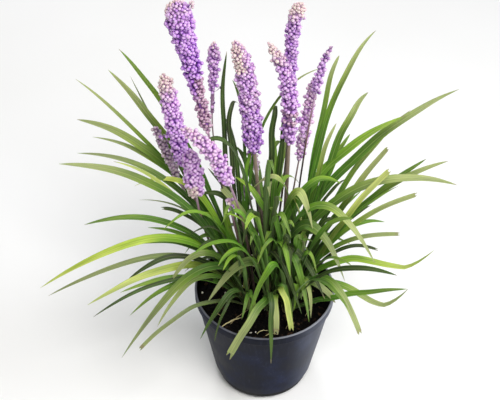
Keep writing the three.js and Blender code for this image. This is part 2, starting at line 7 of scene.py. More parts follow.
import bmesh
import bpy
import mathutils
import numpy as np
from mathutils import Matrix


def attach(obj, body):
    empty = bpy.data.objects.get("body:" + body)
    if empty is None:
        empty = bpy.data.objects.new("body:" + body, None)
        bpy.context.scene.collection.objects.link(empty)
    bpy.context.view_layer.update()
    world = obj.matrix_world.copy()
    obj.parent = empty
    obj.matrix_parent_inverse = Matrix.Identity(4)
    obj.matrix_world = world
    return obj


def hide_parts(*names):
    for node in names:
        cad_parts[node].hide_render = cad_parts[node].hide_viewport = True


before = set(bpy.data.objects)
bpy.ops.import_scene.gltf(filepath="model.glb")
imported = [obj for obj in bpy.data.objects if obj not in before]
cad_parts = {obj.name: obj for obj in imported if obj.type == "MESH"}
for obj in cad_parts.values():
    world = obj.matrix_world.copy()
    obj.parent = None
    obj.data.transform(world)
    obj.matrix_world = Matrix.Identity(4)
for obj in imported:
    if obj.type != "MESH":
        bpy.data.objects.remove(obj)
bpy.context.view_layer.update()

MM = 0.001
UP = np.array([0.0, 0.0, 1.0])

# ---------------------------------------------------------------- sizes, in millimetres

POT_HEIGHT = 112
RIM_RADIUS = 65
RIM_BAND = 9
RIM_STEP = 1.8
RIM_FLARE = 0.2
RIM_EASE = 0.8
RIM_HOLLOW = 1.0
RIM_EDGE = 0.9
BASE_RADIUS = 45
CORNER_RADIUS = 9
WALL = 1.6
FLOOR = 4.5
FLOOR_FILLET = 3.5
POT_SIDES = 144

DRAINS = 6
DRAIN_WIDTH = 9
DRAIN_DEPTH = 3
DRAIN_START = 17
DRAIN_HOLE = 3

SOIL_TOP = 104
SOIL_RELIEF = 1.2
SOIL_ROUGHNESS = 0.45
SOIL_GAP = 0.5
STREWN_FROM = 0.5
STREWN_EDGE = 2.5

# Crowns, and where blades and stalks leave them: the longest reach stands furthest from the axis.
CROWN_RADIUS = 5.5
CROWN_FOOT = 92.3
ROOT_HEIGHT = 105
ROOT_NEAR = 1
ROOT_FAR = 4
LONG_REACH = 200

STEM_RADIUS = 1.4
NECK_SHARE = 0.8
STALK_BEND = 0.35
STALK_FOOT = 92.5

# Blades: share of the width at the foot and how fast it grows, how much a cut end tapers and
# where a pointed one starts to.
FOOT_WIDTH = 0.55
FOOT_GROWTH = 1.1
CUT_TAPER = 0.15
POINT_FROM = 0.45
KEEL_DEPTH = 1.0
KEEL_TAPER = 0.35
CURL_FROM = 0.75
FILLER_RISE = 0.28
BLADE_SEGMENTS = 5

# Start and length of each change along a fine leaf: tone, fading, sag and flick of the end.
TONE_CHANGE = (0.12, 0.6)
FADING = (0.36, 0.5)
SAG = (0.55, 0.33)
FLICK = (0.87, 0.13)
FLICK_SHARE = 2.2

# Fine leaves: points on each, how far the front ones roll to the light, how full they stay towards
# their ends (under 1 is fuller), how slim the seeded ones are and how far all wave.
BLADE_POINTS = 34
FRONT_ROLL = 0.35
FULLNESS = 0.7
SEEDED_SLIMNESS = 0.85
WAVE_ACROSS = 0.7
WAVE_OUT = 0.5
LONG_TEAR = 5
SHEATHS = 9

# Buds: each takes up a share of the head's surface, in whorls at even steps up the stalk.
BUD_RADIUS = 1.7
BUD_AREA = (2 * BUD_RADIUS * 0.8) ** 2 * 0.866
WHORL_STEP = 8.5
GOLDEN_TURN = math.pi * (3 - math.sqrt(5))
DOME_FROM = 0.9
WHORL_RELIEF = 1.1
KNOT_RELIEF = 0.9
STRAY_RELIEF = 1.4
STRAY_SHARE = 0.05

# Trials to place a blade: small boxes along it, the first few inside its own crown.
CHECKS_PER_SEGMENT = 7
CHECKS_IN_CROWN = 3
CHECK_RANGE = 26
BLADE_MARGIN = 0.7
TRIAL_TURNS = (0, 2, -2, 4, -4, 6, -6, 8, -8, 11, -11, 14, -14)

# ---------------------------------------------------------------- the plant's plan

Tuft = namedtuple("Tuft", "x y count heading spread near far")
Blade = namedtuple("Blade", "heading reach height crest width cut bow rise tone curl flick", defaults=(0, 0))

Spike = namedtuple("Spike", "root neck tip radii nod stem", defaults=((0, 0), STEM_RADIUS))


def each_as(kind, table):
    """A table with its rows, or lists of rows, given their names."""
    return {name: [kind(*row) for row in rows] if isinstance(rows, list) else kind(*rows)
            for name, rows in table.items()}


# Crown place on the soil, then the seeded blades: how many, heading, spread, nearest and
# furthest reach.
TUFTS = each_as(Tuft, {
    "centre": (1, 4, 5, 80, 180, 25, 70),
    "front": (5, -19, 4, 272, 50, 45, 110),
    "east": (30, -2, 3, 352, 30, 60, 150),
    "northeast": (27, 20, 3, 42, 35, 60, 170),
    "north": (2, 31, 12, 98, 42, 60, 180),
    "northwest": (-17, 20, 5, 128, 35, 60, 180),
    "west": (-20, 0, 3, 182, 25, 60, 150),
    "southwest": (-14, -17, 3, 225, 30, 55, 140),
    "southeast": (22, -21, 4, 318, 30, 70, 140),
})

# Crowns that grew from one another make one clump.
CLUMPS = {
    "middle": ("centre", "front", "southeast"),
    "east": ("east",),
    "back": ("northeast", "north"),
    "northwest": ("northwest",),
    "west": ("west",),
    "southwest": ("southwest",),
}

# Blades that show one by one: heading, reach, tip height, height of the arch's control point,
# width, cut end (2 is torn further), sideways bow, share of the way out where the control point
# stands, colour of the leaf, and where the end curls up, how far it does and how far the fine leaf
# sags and flicks.
BLADES = each_as(Blade, {
    "northwest": [
        (148, 155, 317, 274, 8, 0, 3, 0.45, "mid"), (152, 160, 300, 256, 11, 0, 4, 0.47, "olive"),
        (146, 149, 288, 210, 4, 0, 4, 0.6, "grey"), (153, 195, 280, 240, 6, 0, 0, 0.46, "olive"),
        (156, 191, 243, 256, 11, 0, 0, 0.41, "olive"), (120, 74, 329, 263, 6, 0, 23, 0.47, "dark"),
        (112, 89, 287, 295, 4, 0, -7, 0.31, "mid"), (114, 65, 278, 323, 6, 0, 24, 0.46, "dark"),
        (156, 176, 228, 240, 8, 0, -5, 0.39, "olive"),
    ],
    "west": [
        (167, 171, 240, 256, 9, 0, -7, 0.25, "olive"), (190, 172, 279, 274, 13, 0, 11, 0.24, "olive"),
        (168, 121, 210, 270, 9, 0, -4, 0.28, "lime"), (170, 116, 198, 212, 3, 0, -6, 0.3, "grey"),
        (188, 89, 218, 210, 8, 1, 0, 0.38, "dark"), (186, 159, 200, 239, 9, 0, 8, 0.3, "mid"),
        (192, 203, 146, 250, 12, 0, 4, 0.2, "lime"), (192, 197, 135, 209, 8, 0, 0, 0.2, "grey"),
        (196, 127, 151, 202, 8, 0, 0, 0.42, "dark"), (200, 165, 141, 195, 12, 0, 1, 0.24, "yellow"),
    ],
    "southwest": [
        (206, 164, 143, 200, 6, 0, 0, 0.3, "dark"), (208, 95, 157, 236, 9, 0, 0, 0.39, "pale"),
        (206, 132, 130, 196, 8, 0, 0, 0.38, "mid"), (212, 148, 97, 255, 12, 0, 8, 0.18, "olive"),
        (214, 113, 123, 215, 7, 0, 0, 0.45, "pale"), (214, 131, 105, 155, 6, 1, -1, 0.41, "grey"),
        (228, 84, 107, 180, 8, 0, 6, 0.26, "dark"), (236, 78, 107, 166, 4, 0, -3, 0.4, "dark"),
    ],
    "centre": [
        (308, 55, 123, 232, 7, 0, -10, 0.12, "dark"), (345, 42, 197, 303, 9, 0, 2, 0.45, "pale"),
        (312, 61, 115, 233, 7, 0, 6, 0.41, "mid"), (332, 62, 128, 232, 7, 0, -3, 0.19, "dark"),
        (345, 75, 141, 272, 12, 0, 0, 0.36, "olive"), (345, 100, 171, 303, 8, 0, 2, 0.29, "olive"),
        (8, 169, 222, 272, 9, 0, 3, 0.3, "pale"), (150, 46, 201, 145, 7, 0, 12, 0.7, "fresh"),
    ],
    "front": [
        (250, 84, 108, 171, 8, 2, 15, 0.12, "olive"), (275, 84, 102, 195, 5, 0, 0, 0.34, "dark"),
        (296, 57, 112, 182, 6, 1, 0, 0.35, "yellow"), (282, 55, 110, 164, 6, 1, 3, 0.36, "pale"),
        (304, 47, 110, 183, 5, 0, 0, 0.35, "mid"),
    ],
    "southeast": [
        (252, 55, 112, 247, 8, 0, 7, 0.32, "fresh"), (316, 59, 116, 194, 5, 0, 9, 0.46, "pale"),
        (341, 68, 120, 170, 9, 1, 4, 0.12, "olive"), (322, 107, 126, 217, 8, 1, 5, 0.35, "olive"),
        (160, 42, 218, 199, 9, 1, 3, 0.44, "olive"), (0, 1, 210, 233, 6, 0, 2, 0.36, "mid"),
    ],
    "east": [
        (4, 103, 249, 211, 8, 1, -4, 0.46, "yellow"), (10, 117, 222, 200, 4, 0, 0, 0.35, "mid"),
        (2, 128, 226, 195, 7, 1, 0, 0.2, "olive"), (356, 116, 191, 182, 7, 1, 3, 0.1, "olive"),
        (356, 98, 171, 186, 6, 1, 0, 0.36, "dark"), (5, 58, 197, 203, 7, 1, 0, 0.38, "dark"),
        (354, 149, 155, 183, 9, 0, -3, 0.12, "light", 14, 9),
        (354, 132, 91, 157, 9, 0, -4, 0.12, "olive", 28, 8),
    ],
    "northeast": [
        (31, 147, 264, 231, 6, 0, 0, 0.4, "pale"), (44, 122, 276, 279, 7, 0, -6, 0.43, "olive"),
        (54, 101, 316, 325, 5, 0, -5, 0.44, "olive"), (48, 136, 330, 322, 6, 0, -2, 0.16, "olive"),
        (48, 90, 254, 247, 5, 0, -4, 0.41, "pale"), (40, 95, 247, 228, 6, 0, -3, 0.42, "mid"),
        (24, 115, 242, 197, 8, 1, -2, 0.51, "pale"), (18, 148, 233, 191, 7, 0, -1, 0.43, "mid"),
        (14, 164, 236, 221, 7, 0, -1, 0.43, "olive"),
    ],
    "north": [
        (28, 191, 278, 262, 10, 0, -12, 0.35, "olive"), (25, 132, 273, 239, 11, 0, 3, 0.24, "fresh"),
        (84, 65, 273, 298, 6, 0, 2, 0.32, "dark"), (78, 59, 238, 264, 6, 0, 10, 0.32, "mid"),
    ],
})

# Leaves of the plant's heart that stand between the listed ones.
HEART_BLADES = each_as(Blade, {
    "front": [(215, 63, 126, 235, 9, 0, 11, 0.1, "pale")],
    "east": [(140, 38, 225, 222, 8, 0, 2, 0.42, "fresh")],
    "northeast": [
        (20, 25, 216, 168, 8, 1, 18, 0.34, "yellow"), (140, 13, 229, 284, 7, 1, 19, 0.1, "pale"),
    ],
    "northwest": [(60, 97, 302, 306, 4, 0, 30, 0.1, "olive")],
    "west": [(175, 133, 249, 240, 6, 0, 0, 0.4, "yellow")],
})

# Seeded leaves of the heart: how many, heading, spread, nearest and furthest reach.
HEART_FILL = {
    "centre": (16, 270, 180, 12, 52),
    "front": (10, 270, 120, 25, 52),
    "southeast": (8, 300, 90, 30, 55),
    "east": (6, 0, 90, 35, 75),
    "northeast": (7, 60, 80, 35, 90),
    "north": (6, 90, 80, 40, 90),
    "northwest": (6, 130, 70, 35, 90),
    "west": (6, 190, 70, 35, 75),
    "southwest": (6, 225, 70, 30, 60),
}

# Each colour of leaf: how light its green is near the crown and further out, then how washed out
# (or, below nought, how vivid) it is near the crown and further out.
LEAF_TONES = {
    "dark": (0.0, 0.16, -0.7, -0.2),
    "mid": (0.12, 0.5, -1.0, -0.1),
    "fresh": (0.28, 0.62, -1.0, -0.4),
    "light": (0.3, 0.8, -0.9, 0.2),
    "lime": (0.42, 0.95, -0.8, 0.0),
    "yellow": (0.42, 0.86, 0.0, 0.35),
    "olive": (0.2, 0.56, -1.0, 0.75),
    "pale": (0.22, 0.64, -0.5, 0.9),
    "grey": (0.1, 0.43, 0.1, 0.9),
}

# How seeded blades grow: height at no reach and what each millimetre of reach takes off it, then
# from and to of what comes on top, of the crest over the tip, of width, bow and rise (or none, for
# a fixed one), and the colours to draw from.
Habit = namedtuple("Habit", "top fall height crest width bow rise tones")
FILLERS = Habit(315, 0.85, (-60, 20), (-30, 50), (5, 9), (-8, 8), None,
                ("dark", "dark", "mid", "mid", "fresh", "fresh", "olive"))
HEART = Habit(0, 0.7, (150, 250), (20, 70), (4, 7.5), (-8, 8), (0.15, 0.45),
              ("dark", "dark", "dark", "mid", "mid", "fresh", "olive"))

# How slim the fine leaves of each tuft are against their blades.
SLIMNESS = {
    "centre": 0.95, "front": 0.96, "southeast": 0.86, "east": 0.76, "northeast": 0.92, "north": 0.9,
    "northwest": 0.72, "west": 0.68, "southwest": 0.7,
}

# Flower spikes: stalk's root, head's start and end, the head's radius at even steps up its length,
# how far it bends over near the tip and the stem's radius where it is thick.
SPIKES = each_as(Spike, {
    "a": ((-10, 12), (-52, 28, 272), (-75, 28, 396), (6, 5.5, 7.5, 9.5, 13.5)),
    "b": ((-22, 33), (-50, 60, 268), (-47, 52, 345), (2.5, 3, 4.5, 5.5, 5)),
    "c": ((-28, 13), (-73, 22, 238), (-87, 24, 332), (6.5, 8, 8, 7.5, 6.5)),
    "d": ((-33, 7), (-61, -1, 224), (-65, -1, 272), (7, 8.5, 8.5, 7.5, 6.5)),
    "e": ((-9, -6), (-32, -15, 250), (-53, -22, 314), (6, 7, 7, 6.5, 5.5), (-16, -2)),
    "f": ((-31, 24), (-79, 30, 215), (-98, 29, 275), (3.5, 4.5, 4.5, 4.3, 3.5)),
    "g": ((5, 15), (-12, 40, 240), (-21, 46, 351), (7.5, 9.2, 8.8, 8.5, 6.5), (-8, 0), 2),
    "h": ((7, 43), (18, 60, 298), (16, 63, 378), (5, 5.5, 6, 6, 7.5), (7, 0)),
    "i": ((15, 13), (18, 42, 250), (18, 44, 350), (6, 7.2, 7.5, 6.5, 5.5), (-20, 2), 2),
    "j": ((15, 43), (28, 53, 222), (38, 60, 308), (4.5, 5.2, 5.5, 5.5, 4)),
    "k": ((24, 47), (39, 48, 300), (45, 50, 346), (4.5, 4.5, 4.2, 3.8, 2.5), (6, 0)),
    "l": ((-6, 20), (-17, 53, 173), (-27, 55, 198), (4, 5, 5, 4.5, 4)),
    "m": ((-9, 3), (-31, -1, 208), (-33, 0, 220), (4, 4, 4, 4, 4)),
    "n": ((-9, 34), (-11, 70, 195), (-15, 62, 225), (4, 4.5, 4.5, 4.2, 3.5)),
})

# Finish of the heads, at even steps from foot to tip: share of the buds that still stand, how
# faded, how cream and how pink they are. Then how dull the whole head is, and patches of cream or
# faded buds on one side: value, first and last share of the length, side in degrees. Sprigs stand
# off the head: share of the length, side in degrees, way out, way up and how many buds.
USUAL_FINISH = dict(full=(1, 1), faded=(0, 0), cream=(0, 0), dull=0.0, patches=(), sprigs=())
FINISH = {
    "a": dict(full=(0.95, 0.85, 0.7, 0.8, 0.95, 1, 1), faded=(1, 1, 0.35, 0.1, 0, 0, 0),
              cream=(0, 0, 0, 0, 0.45), pink=(0.5, 0.3, 0.0, 0.2, 0.45),
              patches=[("cream", 0.9, 1.0, 130), ("faded", 0.2, 0.45, 0)], sprigs=[(0.99, 0, 13, -2, 5)]),
    "b": dict(full=(0.45, 0.5, 0.75, 1, 1), faded=(0.2, 0.2, 0.2, 0.2, 0.3), cream=(0, 0, 0, 0, 0.6),
              pink=(0.6, 0.6), dull=0.15, sprigs=[(0.02, 200, 6, 2, 3), (0.3, 20, 7, 4, 2)]),
    "c": dict(full=(1, 1, 1, 1, 0.9), faded=(0, 0, 0, 0.25, 0.4), cream=(0, 0, 0, 0.25, 1),
              pink=(0.4, 0.35, 0.5, 0.8, 0.8), sprigs=[(0.36, 185, 13, 0, 3)]),
    "d": dict(full=(0.85, 1, 1, 1, 1), faded=(0.1, 0, 0, 0, 0), cream=(0.3, 0.1, 0, 0, 0.4),
              pink=(0.9, 0.9, 1), patches=[("cream", 0.0, 0.3, 215)]),
    "e": dict(faded=(0, 0, 0, 0.1, 0.2), cream=(0.3, 0.3, 0.34, 0.36, 0.5), pink=(0.7, 0.9, 1)),
    "f": dict(faded=(0, 0, 0, 0, 0.3), cream=(0, 0, 0, 0, 0.2), pink=(0.2, 0.2), dull=0.85),
    "g": dict(full=(0.9, 1, 1, 1, 1), faded=(0, 0.1, 0.1, 0.1, 0.4), cream=(0.2, 0.25, 0.33, 0.33, 0.6),
              pink=(0.0, 0.15, 0.6, 0.6, 0.7), patches=[("cream", 0.76, 1.0, 215)]),
    "h": dict(full=(0.95, 1, 1, 0.95, 1), faded=(0, 0.1, 0.2, 0.3, 0.4), cream=(0, 0, 0, 0.1, 1),
              pink=(0.2, 0.2, 0.3, 0.5), dull=0.2),
    "i": dict(full=(0.9, 0.5, 0.85, 1, 1), faded=(0.1, 0.2, 0.15, 0.3, 0.3), cream=(0, 0, 0, 0.2, 1),
              pink=(0.5, 0.6, 0.6, 0.7, 0.7), dull=0.1, patches=[("faded", 0.2, 0.35, 270)],
              sprigs=[(0.12, 0, 11, 2, 6), (0.2, 10, 9, 4, 4)]),
    "j": dict(full=(0.95, 1, 0.95, 1, 1), faded=(0, 0, 0, 0, 0.2), cream=(0.34, 0.38, 0.38, 0.42, 0.45),
              pink=(0.8, 1, 1)),
    "k": dict(full=(0.9, 1, 1, 1, 1), faded=(0.1, 0.1, 0.1, 0.3, 0.6), cream=(0, 0, 0, 0.1, 0.5),
              pink=(0.4, 0.4), dull=0.25),
    "l": dict(full=(0.9, 1, 1, 1, 1), faded=(0.2, 0.2), pink=(0.6, 0.6), dull=0.6),
    "m": dict(full=(0.4, 0.4), cream=(0.2, 0.2, 0.5, 0.6, 0.3), pink=(0.1, 0.1)),
    "n": dict(cream=(0.4, 0.4), pink=(0.9, 0.9), dull=0.35),
}

# Stalks that are browner, darker or slimmer than the others: shares in that order.
STALK_LOOKS = {
    "a": (0.2, 0.0, 0.0), "b": (0.6, 0.8, 0.45), "g": (1.0, 0.0, 0.0), "h": (0.8, 0.5, 0.2),
    "i": (1.0, 0.1, 0.0), "j": (0.7, 0.85, 0.35), "k": (0.0, 1.0, 0.35),
}
USUAL_STALK = (0.25, 0.15, 0.1)

# Loose bits strewn on the soil: how many on a square metre, smallest and largest, what kind from
# and to (0 earth, 0.6 bark, 1 perlite) and seed.
SOIL_BITS = {
    "crumbs": (170000.0, 0.5, 1.5, 0.0, 0.38, 4),
    "bark": (16000.0, 1.2, 2.6, 0.15, 0.62, 9),
    "perlite": (1800.0, 0.7, 1.8, 0.92, 1.0, 21),
}
LUMP_BITS = (1500000.0, 0.7, 1.4, 0.96, 1.0, 3)

# Loose things at their own places: white lumps (place, size) and dry straws (from, to, width, kind).
WHITE_LUMPS = (((-59, -4), 1.5), ((-37, -4), 1.3), ((-44, -22), 0.9), ((12, -50), 0.8), ((47, -12), 0.8))
STRAWS = (
    ((-38, -46), (-20, -34), 1.6, 0.8), ((-30, -42), (-14, -24), 1.0, 0.7), ((-6, -53), (4, -49), 0.9, 0.85),
    ((2, -55), (13, -53), 1.2, 0.8), ((30, 12), (34, 2), 4.5, 0.86), ((33, 6), (36, -5), 3.0, 0.9),
    ((-48, -30), (-38, -34), 0.8, 0.7), ((20, -46), (27, -37), 1.0, 0.66), ((44, -20), (38, -30), 0.8, 0.7),
)

# Camera: place in millimetres, lens, and pitch, yaw and roll in degrees.
CAMERA_PLACE = (0, -688.9, 824.9)
CAMERA_LENS = 76.2
CAMERA_TURNS = (41.32, -1.21, -0.68)

# Soft lights in metres: name, place, what it looks at, size, power and tint.
LIGHTS = (
    ("key", (0.3, -0.8, 1.45), (0, 0, 0.2), 0.9, 22, (1.0, 0.98, 0.95)),
    ("side", (1.3, -0.1, 0.7), (0, 0, 0.15), 0.6, 9, (0.95, 0.97, 1.0)),
    ("back", (-0.4, 1.2, 1.2), (0, 0, 0.25), 0.8, 9, (1.0, 1.0, 1.0)),
)
SKY_TINT = (0.95, 0.97, 1.0, 1)
SKY_STRENGTH = 0.26
FLOOR_REACH = 4000

# ---------------------------------------------------------------- repeatable draws


class Draws:
    """The plan's own run of random numbers."""

    def __init__(self, start):
        self.state = start

    def between(self, low, high):
        self.state = (self.state * 1664525 + 1013904223) % 2**32
        return low + (high - low) * (self.state / 2**32)


plan_draws = Draws(20250)
fine_draws = random.Random(71)

# ---------------------------------------------------------------- vectors and shares


def unit(vectors):
    return vectors / np.linalg.norm(vectors, axis=-1, keepdims=True)


def clamped(value):
    return min(1.0, max(0.0, value))


def eased(shares, start, length):
    """Runs from 0 to 1 over a length from the start, and stays there."""
    return np.clip((shares - start) / length, 0, 1)


def banded(values, t):
    """The value at a share of the length, from values at even steps."""
    return float(np.interp(t, np.linspace(0, 1, len(values)), values))


def bezier(root, control, tip, count):
    """Points along a curve with one control point."""
    s = np.linspace(0, 1, count)[:, None]
    return (1 - s) ** 2 * root + 2 * s * (1 - s) * control + s**2 * tip


# ---------------------------------------------------------------- placing the blades


def half_width(row, s):
    foot = np.minimum(1, FOOT_WIDTH + FOOT_GROWTH * s)
    point = 1 - (np.maximum(0, s - POINT_FROM) / (1 - POINT_FROM)) ** 3
    if row.cut:
        point = 1 - CUT_TAPER * s
    return (row.width / 2) * foot * point


def blade_arch(tuft, row, turn=0):
    """Root, control point and tip of one blade."""
    angle = math.radians(row.heading + turn)
    tip = np.array([row.reach * math.cos(angle), row.reach * math.sin(angle), row.height])
    out = np.array([tip[0] - tuft.x, tip[1] - tuft.y, 0.0])
    across = unit(np.array([-out[1], out[0], 0.0]))
    offset = ROOT_NEAR + (ROOT_FAR - ROOT_NEAR) * min(1, np.linalg.norm(out) / LONG_REACH)
    root = np.array([tuft.x, tuft.y, ROOT_HEIGHT]) + unit(out) * offset
    control = root + row.rise * out + row.bow * across
    control[2] = row.crest
    return root, control, tip


def blade_frame(arch, row, count):
    """Points, sides, faces, half widths and shares of the length along one blade."""
    root, control, tip = arch
    shares = np.linspace(0, 1, count)
    s = shares[:, None]
    tangents = unit(2 * (1 - s) * (control - root) + 2 * s * (tip - control))
    sides = unit(np.cross(UP, tangents))
    points = bezier(root, control, tip, count)
    points[:, 2] += row.curl * (np.maximum(0, shares - CURL_FROM) / (1 - CURL_FROM)) ** 2
    return points, sides, np.cross(tangents, sides), half_width(row, shares), shares


def blade_checks(arch, row):
    """Small flat boxes along a blade: centres, axes, half sizes and round radii."""
    points, sides, faces, widths, shares = blade_frame(arch, row, BLADE_SEGMENTS + 1)
    t = ((np.arange(CHECKS_PER_SEGMENT) + 0.5) / CHECKS_PER_SEGMENT)[None, :, None]

    def spread(values):
        values = values.reshape(len(values), -1)
        return (values[:-1, None] * (1 - t) + values[1:, None] * t).reshape(-1, values.shape[1])

    def each(values):
        return np.repeat(values, CHECKS_PER_SEGMENT, 0)

    steps = points[1:] - points[:-1]
    axes = np.stack([unit(spread(sides)), unit(spread(faces)), each(unit(steps))], 1)
    half = each(np.linalg.norm(steps, axis=1) / CHECKS_PER_SEGMENT / 2)
    depth = each((KEEL_DEPTH * (1 - KEEL_TAPER * shares))[:-1])
    sizes = np.stack([spread(widths)[:, 0], depth, half], 1)
    return spread(points), axes, sizes, np.zeros(len(half))


def round_checks(points, radii):
    count = len(points)
    return np.asarray(points, float), np.zeros((count, 3, 3)), np.zeros((count, 3)), np.asarray(radii, float)


def joined(checks):
    return tuple(np.concatenate(parts) for parts in zip(*checks))


def reach_along(checks, index, ways):
    _, axes, sizes, rounds = checks
    spans = np.abs(np.einsum("kij,kj->ki", axes[index], ways))
    return (sizes[index] * spans).sum(1) + rounds[index]


def touches(checks, others):
    way = checks[0][:, None] - others[0][None]
    distance = np.linalg.norm(way, axis=2)
    a, b = np.nonzero(distance < CHECK_RANGE)
    if not len(a):
        return False
    near = distance[a, b]
    ways = way[a, b] / near[:, None]
    return bool((near < reach_along(checks, a, ways) + reach_along(others, b, ways) + BLADE_MARGIN).any())


def hits_pot(checks):
    """True where a blade would run into the pot or the soil."""
    points = checks[0]
    index = np.arange(len(points))
    radius = np.hypot(points[:, 0], points[:, 1])
    outward = points * (1, 1, 0) / radius[:, None]
    wide = reach_along(checks, index, outward) + BLADE_MARGIN
    tall = reach_along(checks, index, np.broadcast_to(UP, points.shape)) + BLADE_MARGIN
    over_wall = (radius + wide > inner_radius(SOIL_TOP)) & (radius - wide < RIM_RADIUS + 0.5)
    bottom = points[:, 2] - tall
    in_soil = (radius < inner_radius(SOIL_TOP)) & (bottom < SOIL_TOP + SOIL_RELIEF)
    return bool(((over_wall & (bottom < POT_HEIGHT)) | in_soil).any())


def seeded_row(draw, habit, heading, spread, near, far):
    """A seeded blade: those that reach out further end lower."""
    heading = heading + spread * draw(-1, 1)
    reach = draw(near, far)
    height = habit.top - habit.fall * reach + draw(*habit.height)
    crest = height + draw(*habit.crest)
    width = draw(*habit.width)
    bow = draw(*habit.bow)
    rise = draw(*habit.rise) if habit.rise else FILLER_RISE
    return Blade(heading, reach, height, crest, width, 0, bow, rise, fine_draws.choice(habit.tones))


def crown_checks(tuft):
    return round_checks([(tuft.x, tuft.y, SOIL_TOP + up) for up in (0, 2, 4, 6)], [CROWN_RADIUS] * 4)


def spike_checks(spike):
    shares = np.linspace(0, 1, 41)
    return joined([
        round_checks(stalk_curve(spike, len(shares)), [stem_radius(spike, t) for t in shares]),
        round_checks([head_point(spike, t) for t in shares], [head_radius(spike, t) for t in shares]),
    ])


def found_place(name, row, placed, spikes):
    """A blade at the heading nearest its own where it clears the pot, the spikes and the other
    clumps, or None where there is none."""
    own = next(names for names in CLUMPS.values() if name in names)
    others = [other for other in TUFTS if other not in own]
    obstacles = [crown_checks(TUFTS[other]) for other in others]
    obstacles += [checks for other in others for _, _, checks in placed[other]]
    around = joined([spikes, *obstacles])
    for turn in TRIAL_TURNS:
        arch = blade_arch(TUFTS[name], row, turn)
        checks = blade_checks(arch, row)
        beyond_crown = tuple(part[CHECKS_IN_CROWN:] for part in checks)
        if not hits_pot(beyond_crown) and not touches(checks, around):
            return row, arch, checks
    return None


def place_blades():
    """The blades of every tuft: the listed ones, the seeded ones and those of the heart."""
    spikes = joined([spike_checks(spike) for spike in SPIKES.values()])
    rows = [(name, row) for name, listed in BLADES.items() for row in listed]
    rows += [(name, seeded_row(plan_draws.between, FILLERS, *tuft[3:]))
             for name, tuft in TUFTS.items() for _ in range(tuft.count)]
    rows += [(name, seeded_row(fine_draws.uniform, HEART, *fill[1:]))
             for name, fill in HEART_FILL.items() for _ in range(fill[0])]
    placed = {name: [] for name in TUFTS}
    for name, row in rows:
        blade = found_place(name, row, placed, spikes)
        if blade:
            placed[name].append(blade)
    for name, listed in HEART_BLADES.items():
        placed[name] += [(row, blade_arch(TUFTS[name], row), None) for row in listed]
    return placed


# ---------------------------------------------------------------- forms of the spikes


def stem_radius(spike, t):
    return spike.stem * (1 + (NECK_SHARE - 1) * t)


def head_axis(spike):
    """The way from the head's start to its end, in millimetres."""
    return np.subtract(spike.tip, spike.neck).astype(float)


def head_length(spike):
    return np.linalg.norm(head_axis(spike))


def stalk_curve(spike, count):
    neck = np.array(spike.neck, float)
    root = np.array([*spike.root, ROOT_HEIGHT], float)
    control = neck - unit(head_axis(spike)) * STALK_BEND * np.linalg.norm(neck - root)
    return bezier(root, control, neck, count)


def head_point(spike, t):
    return np.array(spike.neck, float) + head_axis(spike) * t + np.array([*spike.nod, 0.0]) * t**4


def head_radius(spike, t):
    foot = min(1, 0.6 + 5 * t)
    crest = math.sqrt(max(0, 1 - max(0, (t - 0.86) / 0.14) ** 2))
    return banded(spike.radii, t) * foot * (0.35 + 0.65 * crest)


# ---------------------------------------------------------------- forms of the pot


def wall_radius(z):
    return BASE_RADIUS + (RIM_RADIUS - RIM_STEP - BASE_RADIUS) * z / (POT_HEIGHT - RIM_BAND)


def inner_radius(z):
    return wall_radius(z) - WALL


def soil_height(x, y):
    broad = np.sin(x * 0.16 + 1.3) * np.cos(y * 0.19 - 0.4)
    crumbs = np.sin(x * 0.61 + y * 0.35) * np.sin(y * 0.57 - x * 0.22 + 2)
    return float(SOIL_TOP + SOIL_RELIEF * (0.45 * broad + 0.55 * crumbs))


# ---------------------------------------------------------------- making meshes


def link(piece):
    bpy.context.collection.objects.link(piece)
    return piece


def mesh_object(name, points, faces=(), edges=(), attributes=None):
    """A mesh in metres from points in millimetres, with named values for each point."""
    mesh = bpy.data.meshes.new(name)
    mesh.from_pydata([tuple(p) for p in np.asarray(points) * MM], edges, faces)
    for key, values in (attributes or {}).items():
        values = np.asarray(values, float)
        kind, field = ("FLOAT", "value") if values.ndim == 1 else ("FLOAT_VECTOR", "vector")
        mesh.attributes.new(key, kind, "POINT").data.foreach_set(field, values.ravel())
    return link(bpy.data.objects.new(name, mesh))


def from_bmesh(name, mesh):
    data = bpy.data.meshes.new(name)
    mesh.to_mesh(data)
    mesh.free()
    return link(bpy.data.objects.new(name, data))


def baked(piece, *cutters):
    """The piece as a plain mesh object with its modifiers worked in; the cutters go as well."""
    name = piece.name
    mesh = bpy.data.meshes.new_from_object(piece.evaluated_get(bpy.context.evaluated_depsgraph_get()))
    for old in (piece, *cutters):
        data = old.data
        bpy.data.objects.remove(old)
        bpy.data.meshes.remove(data)
    mesh.name = name
    return link(bpy.data.objects.new(name, mesh))


def node(tree, kind, values=None, out=0, **settings):
    """Adds a node, sets or links its inputs and gives back one of its outputs."""
    made = tree.nodes.new(kind)
    for key, value in settings.items():
        setattr(made, key, value)
    for key, value in (values or {}).items():
        if isinstance(value, bpy.types.NodeSocket):
            tree.links.new(value, made.inputs[key])
        else:
            made.inputs[key].default_value = value
    return made.outputs[out]


def maths(tree, operation, a, b=0.0, c=0.0):
    return node(tree, "ShaderNodeMath", {0: a, 1: b, 2: c}, operation=operation)


def times(tree, a, b):
    return maths(tree, "MULTIPLY", a, b)


def split(tree, vector):
    """The x, y and z of a vector."""
    return node(tree, "ShaderNodeSeparateXYZ", {0: vector}).node.outputs


def named(tree, name, kind="FLOAT"):
    """A named value of the geometry, inside a geometry tree."""
    return node(tree, "GeometryNodeInputNamedAttribute", {"Name": name}, data_type=kind)


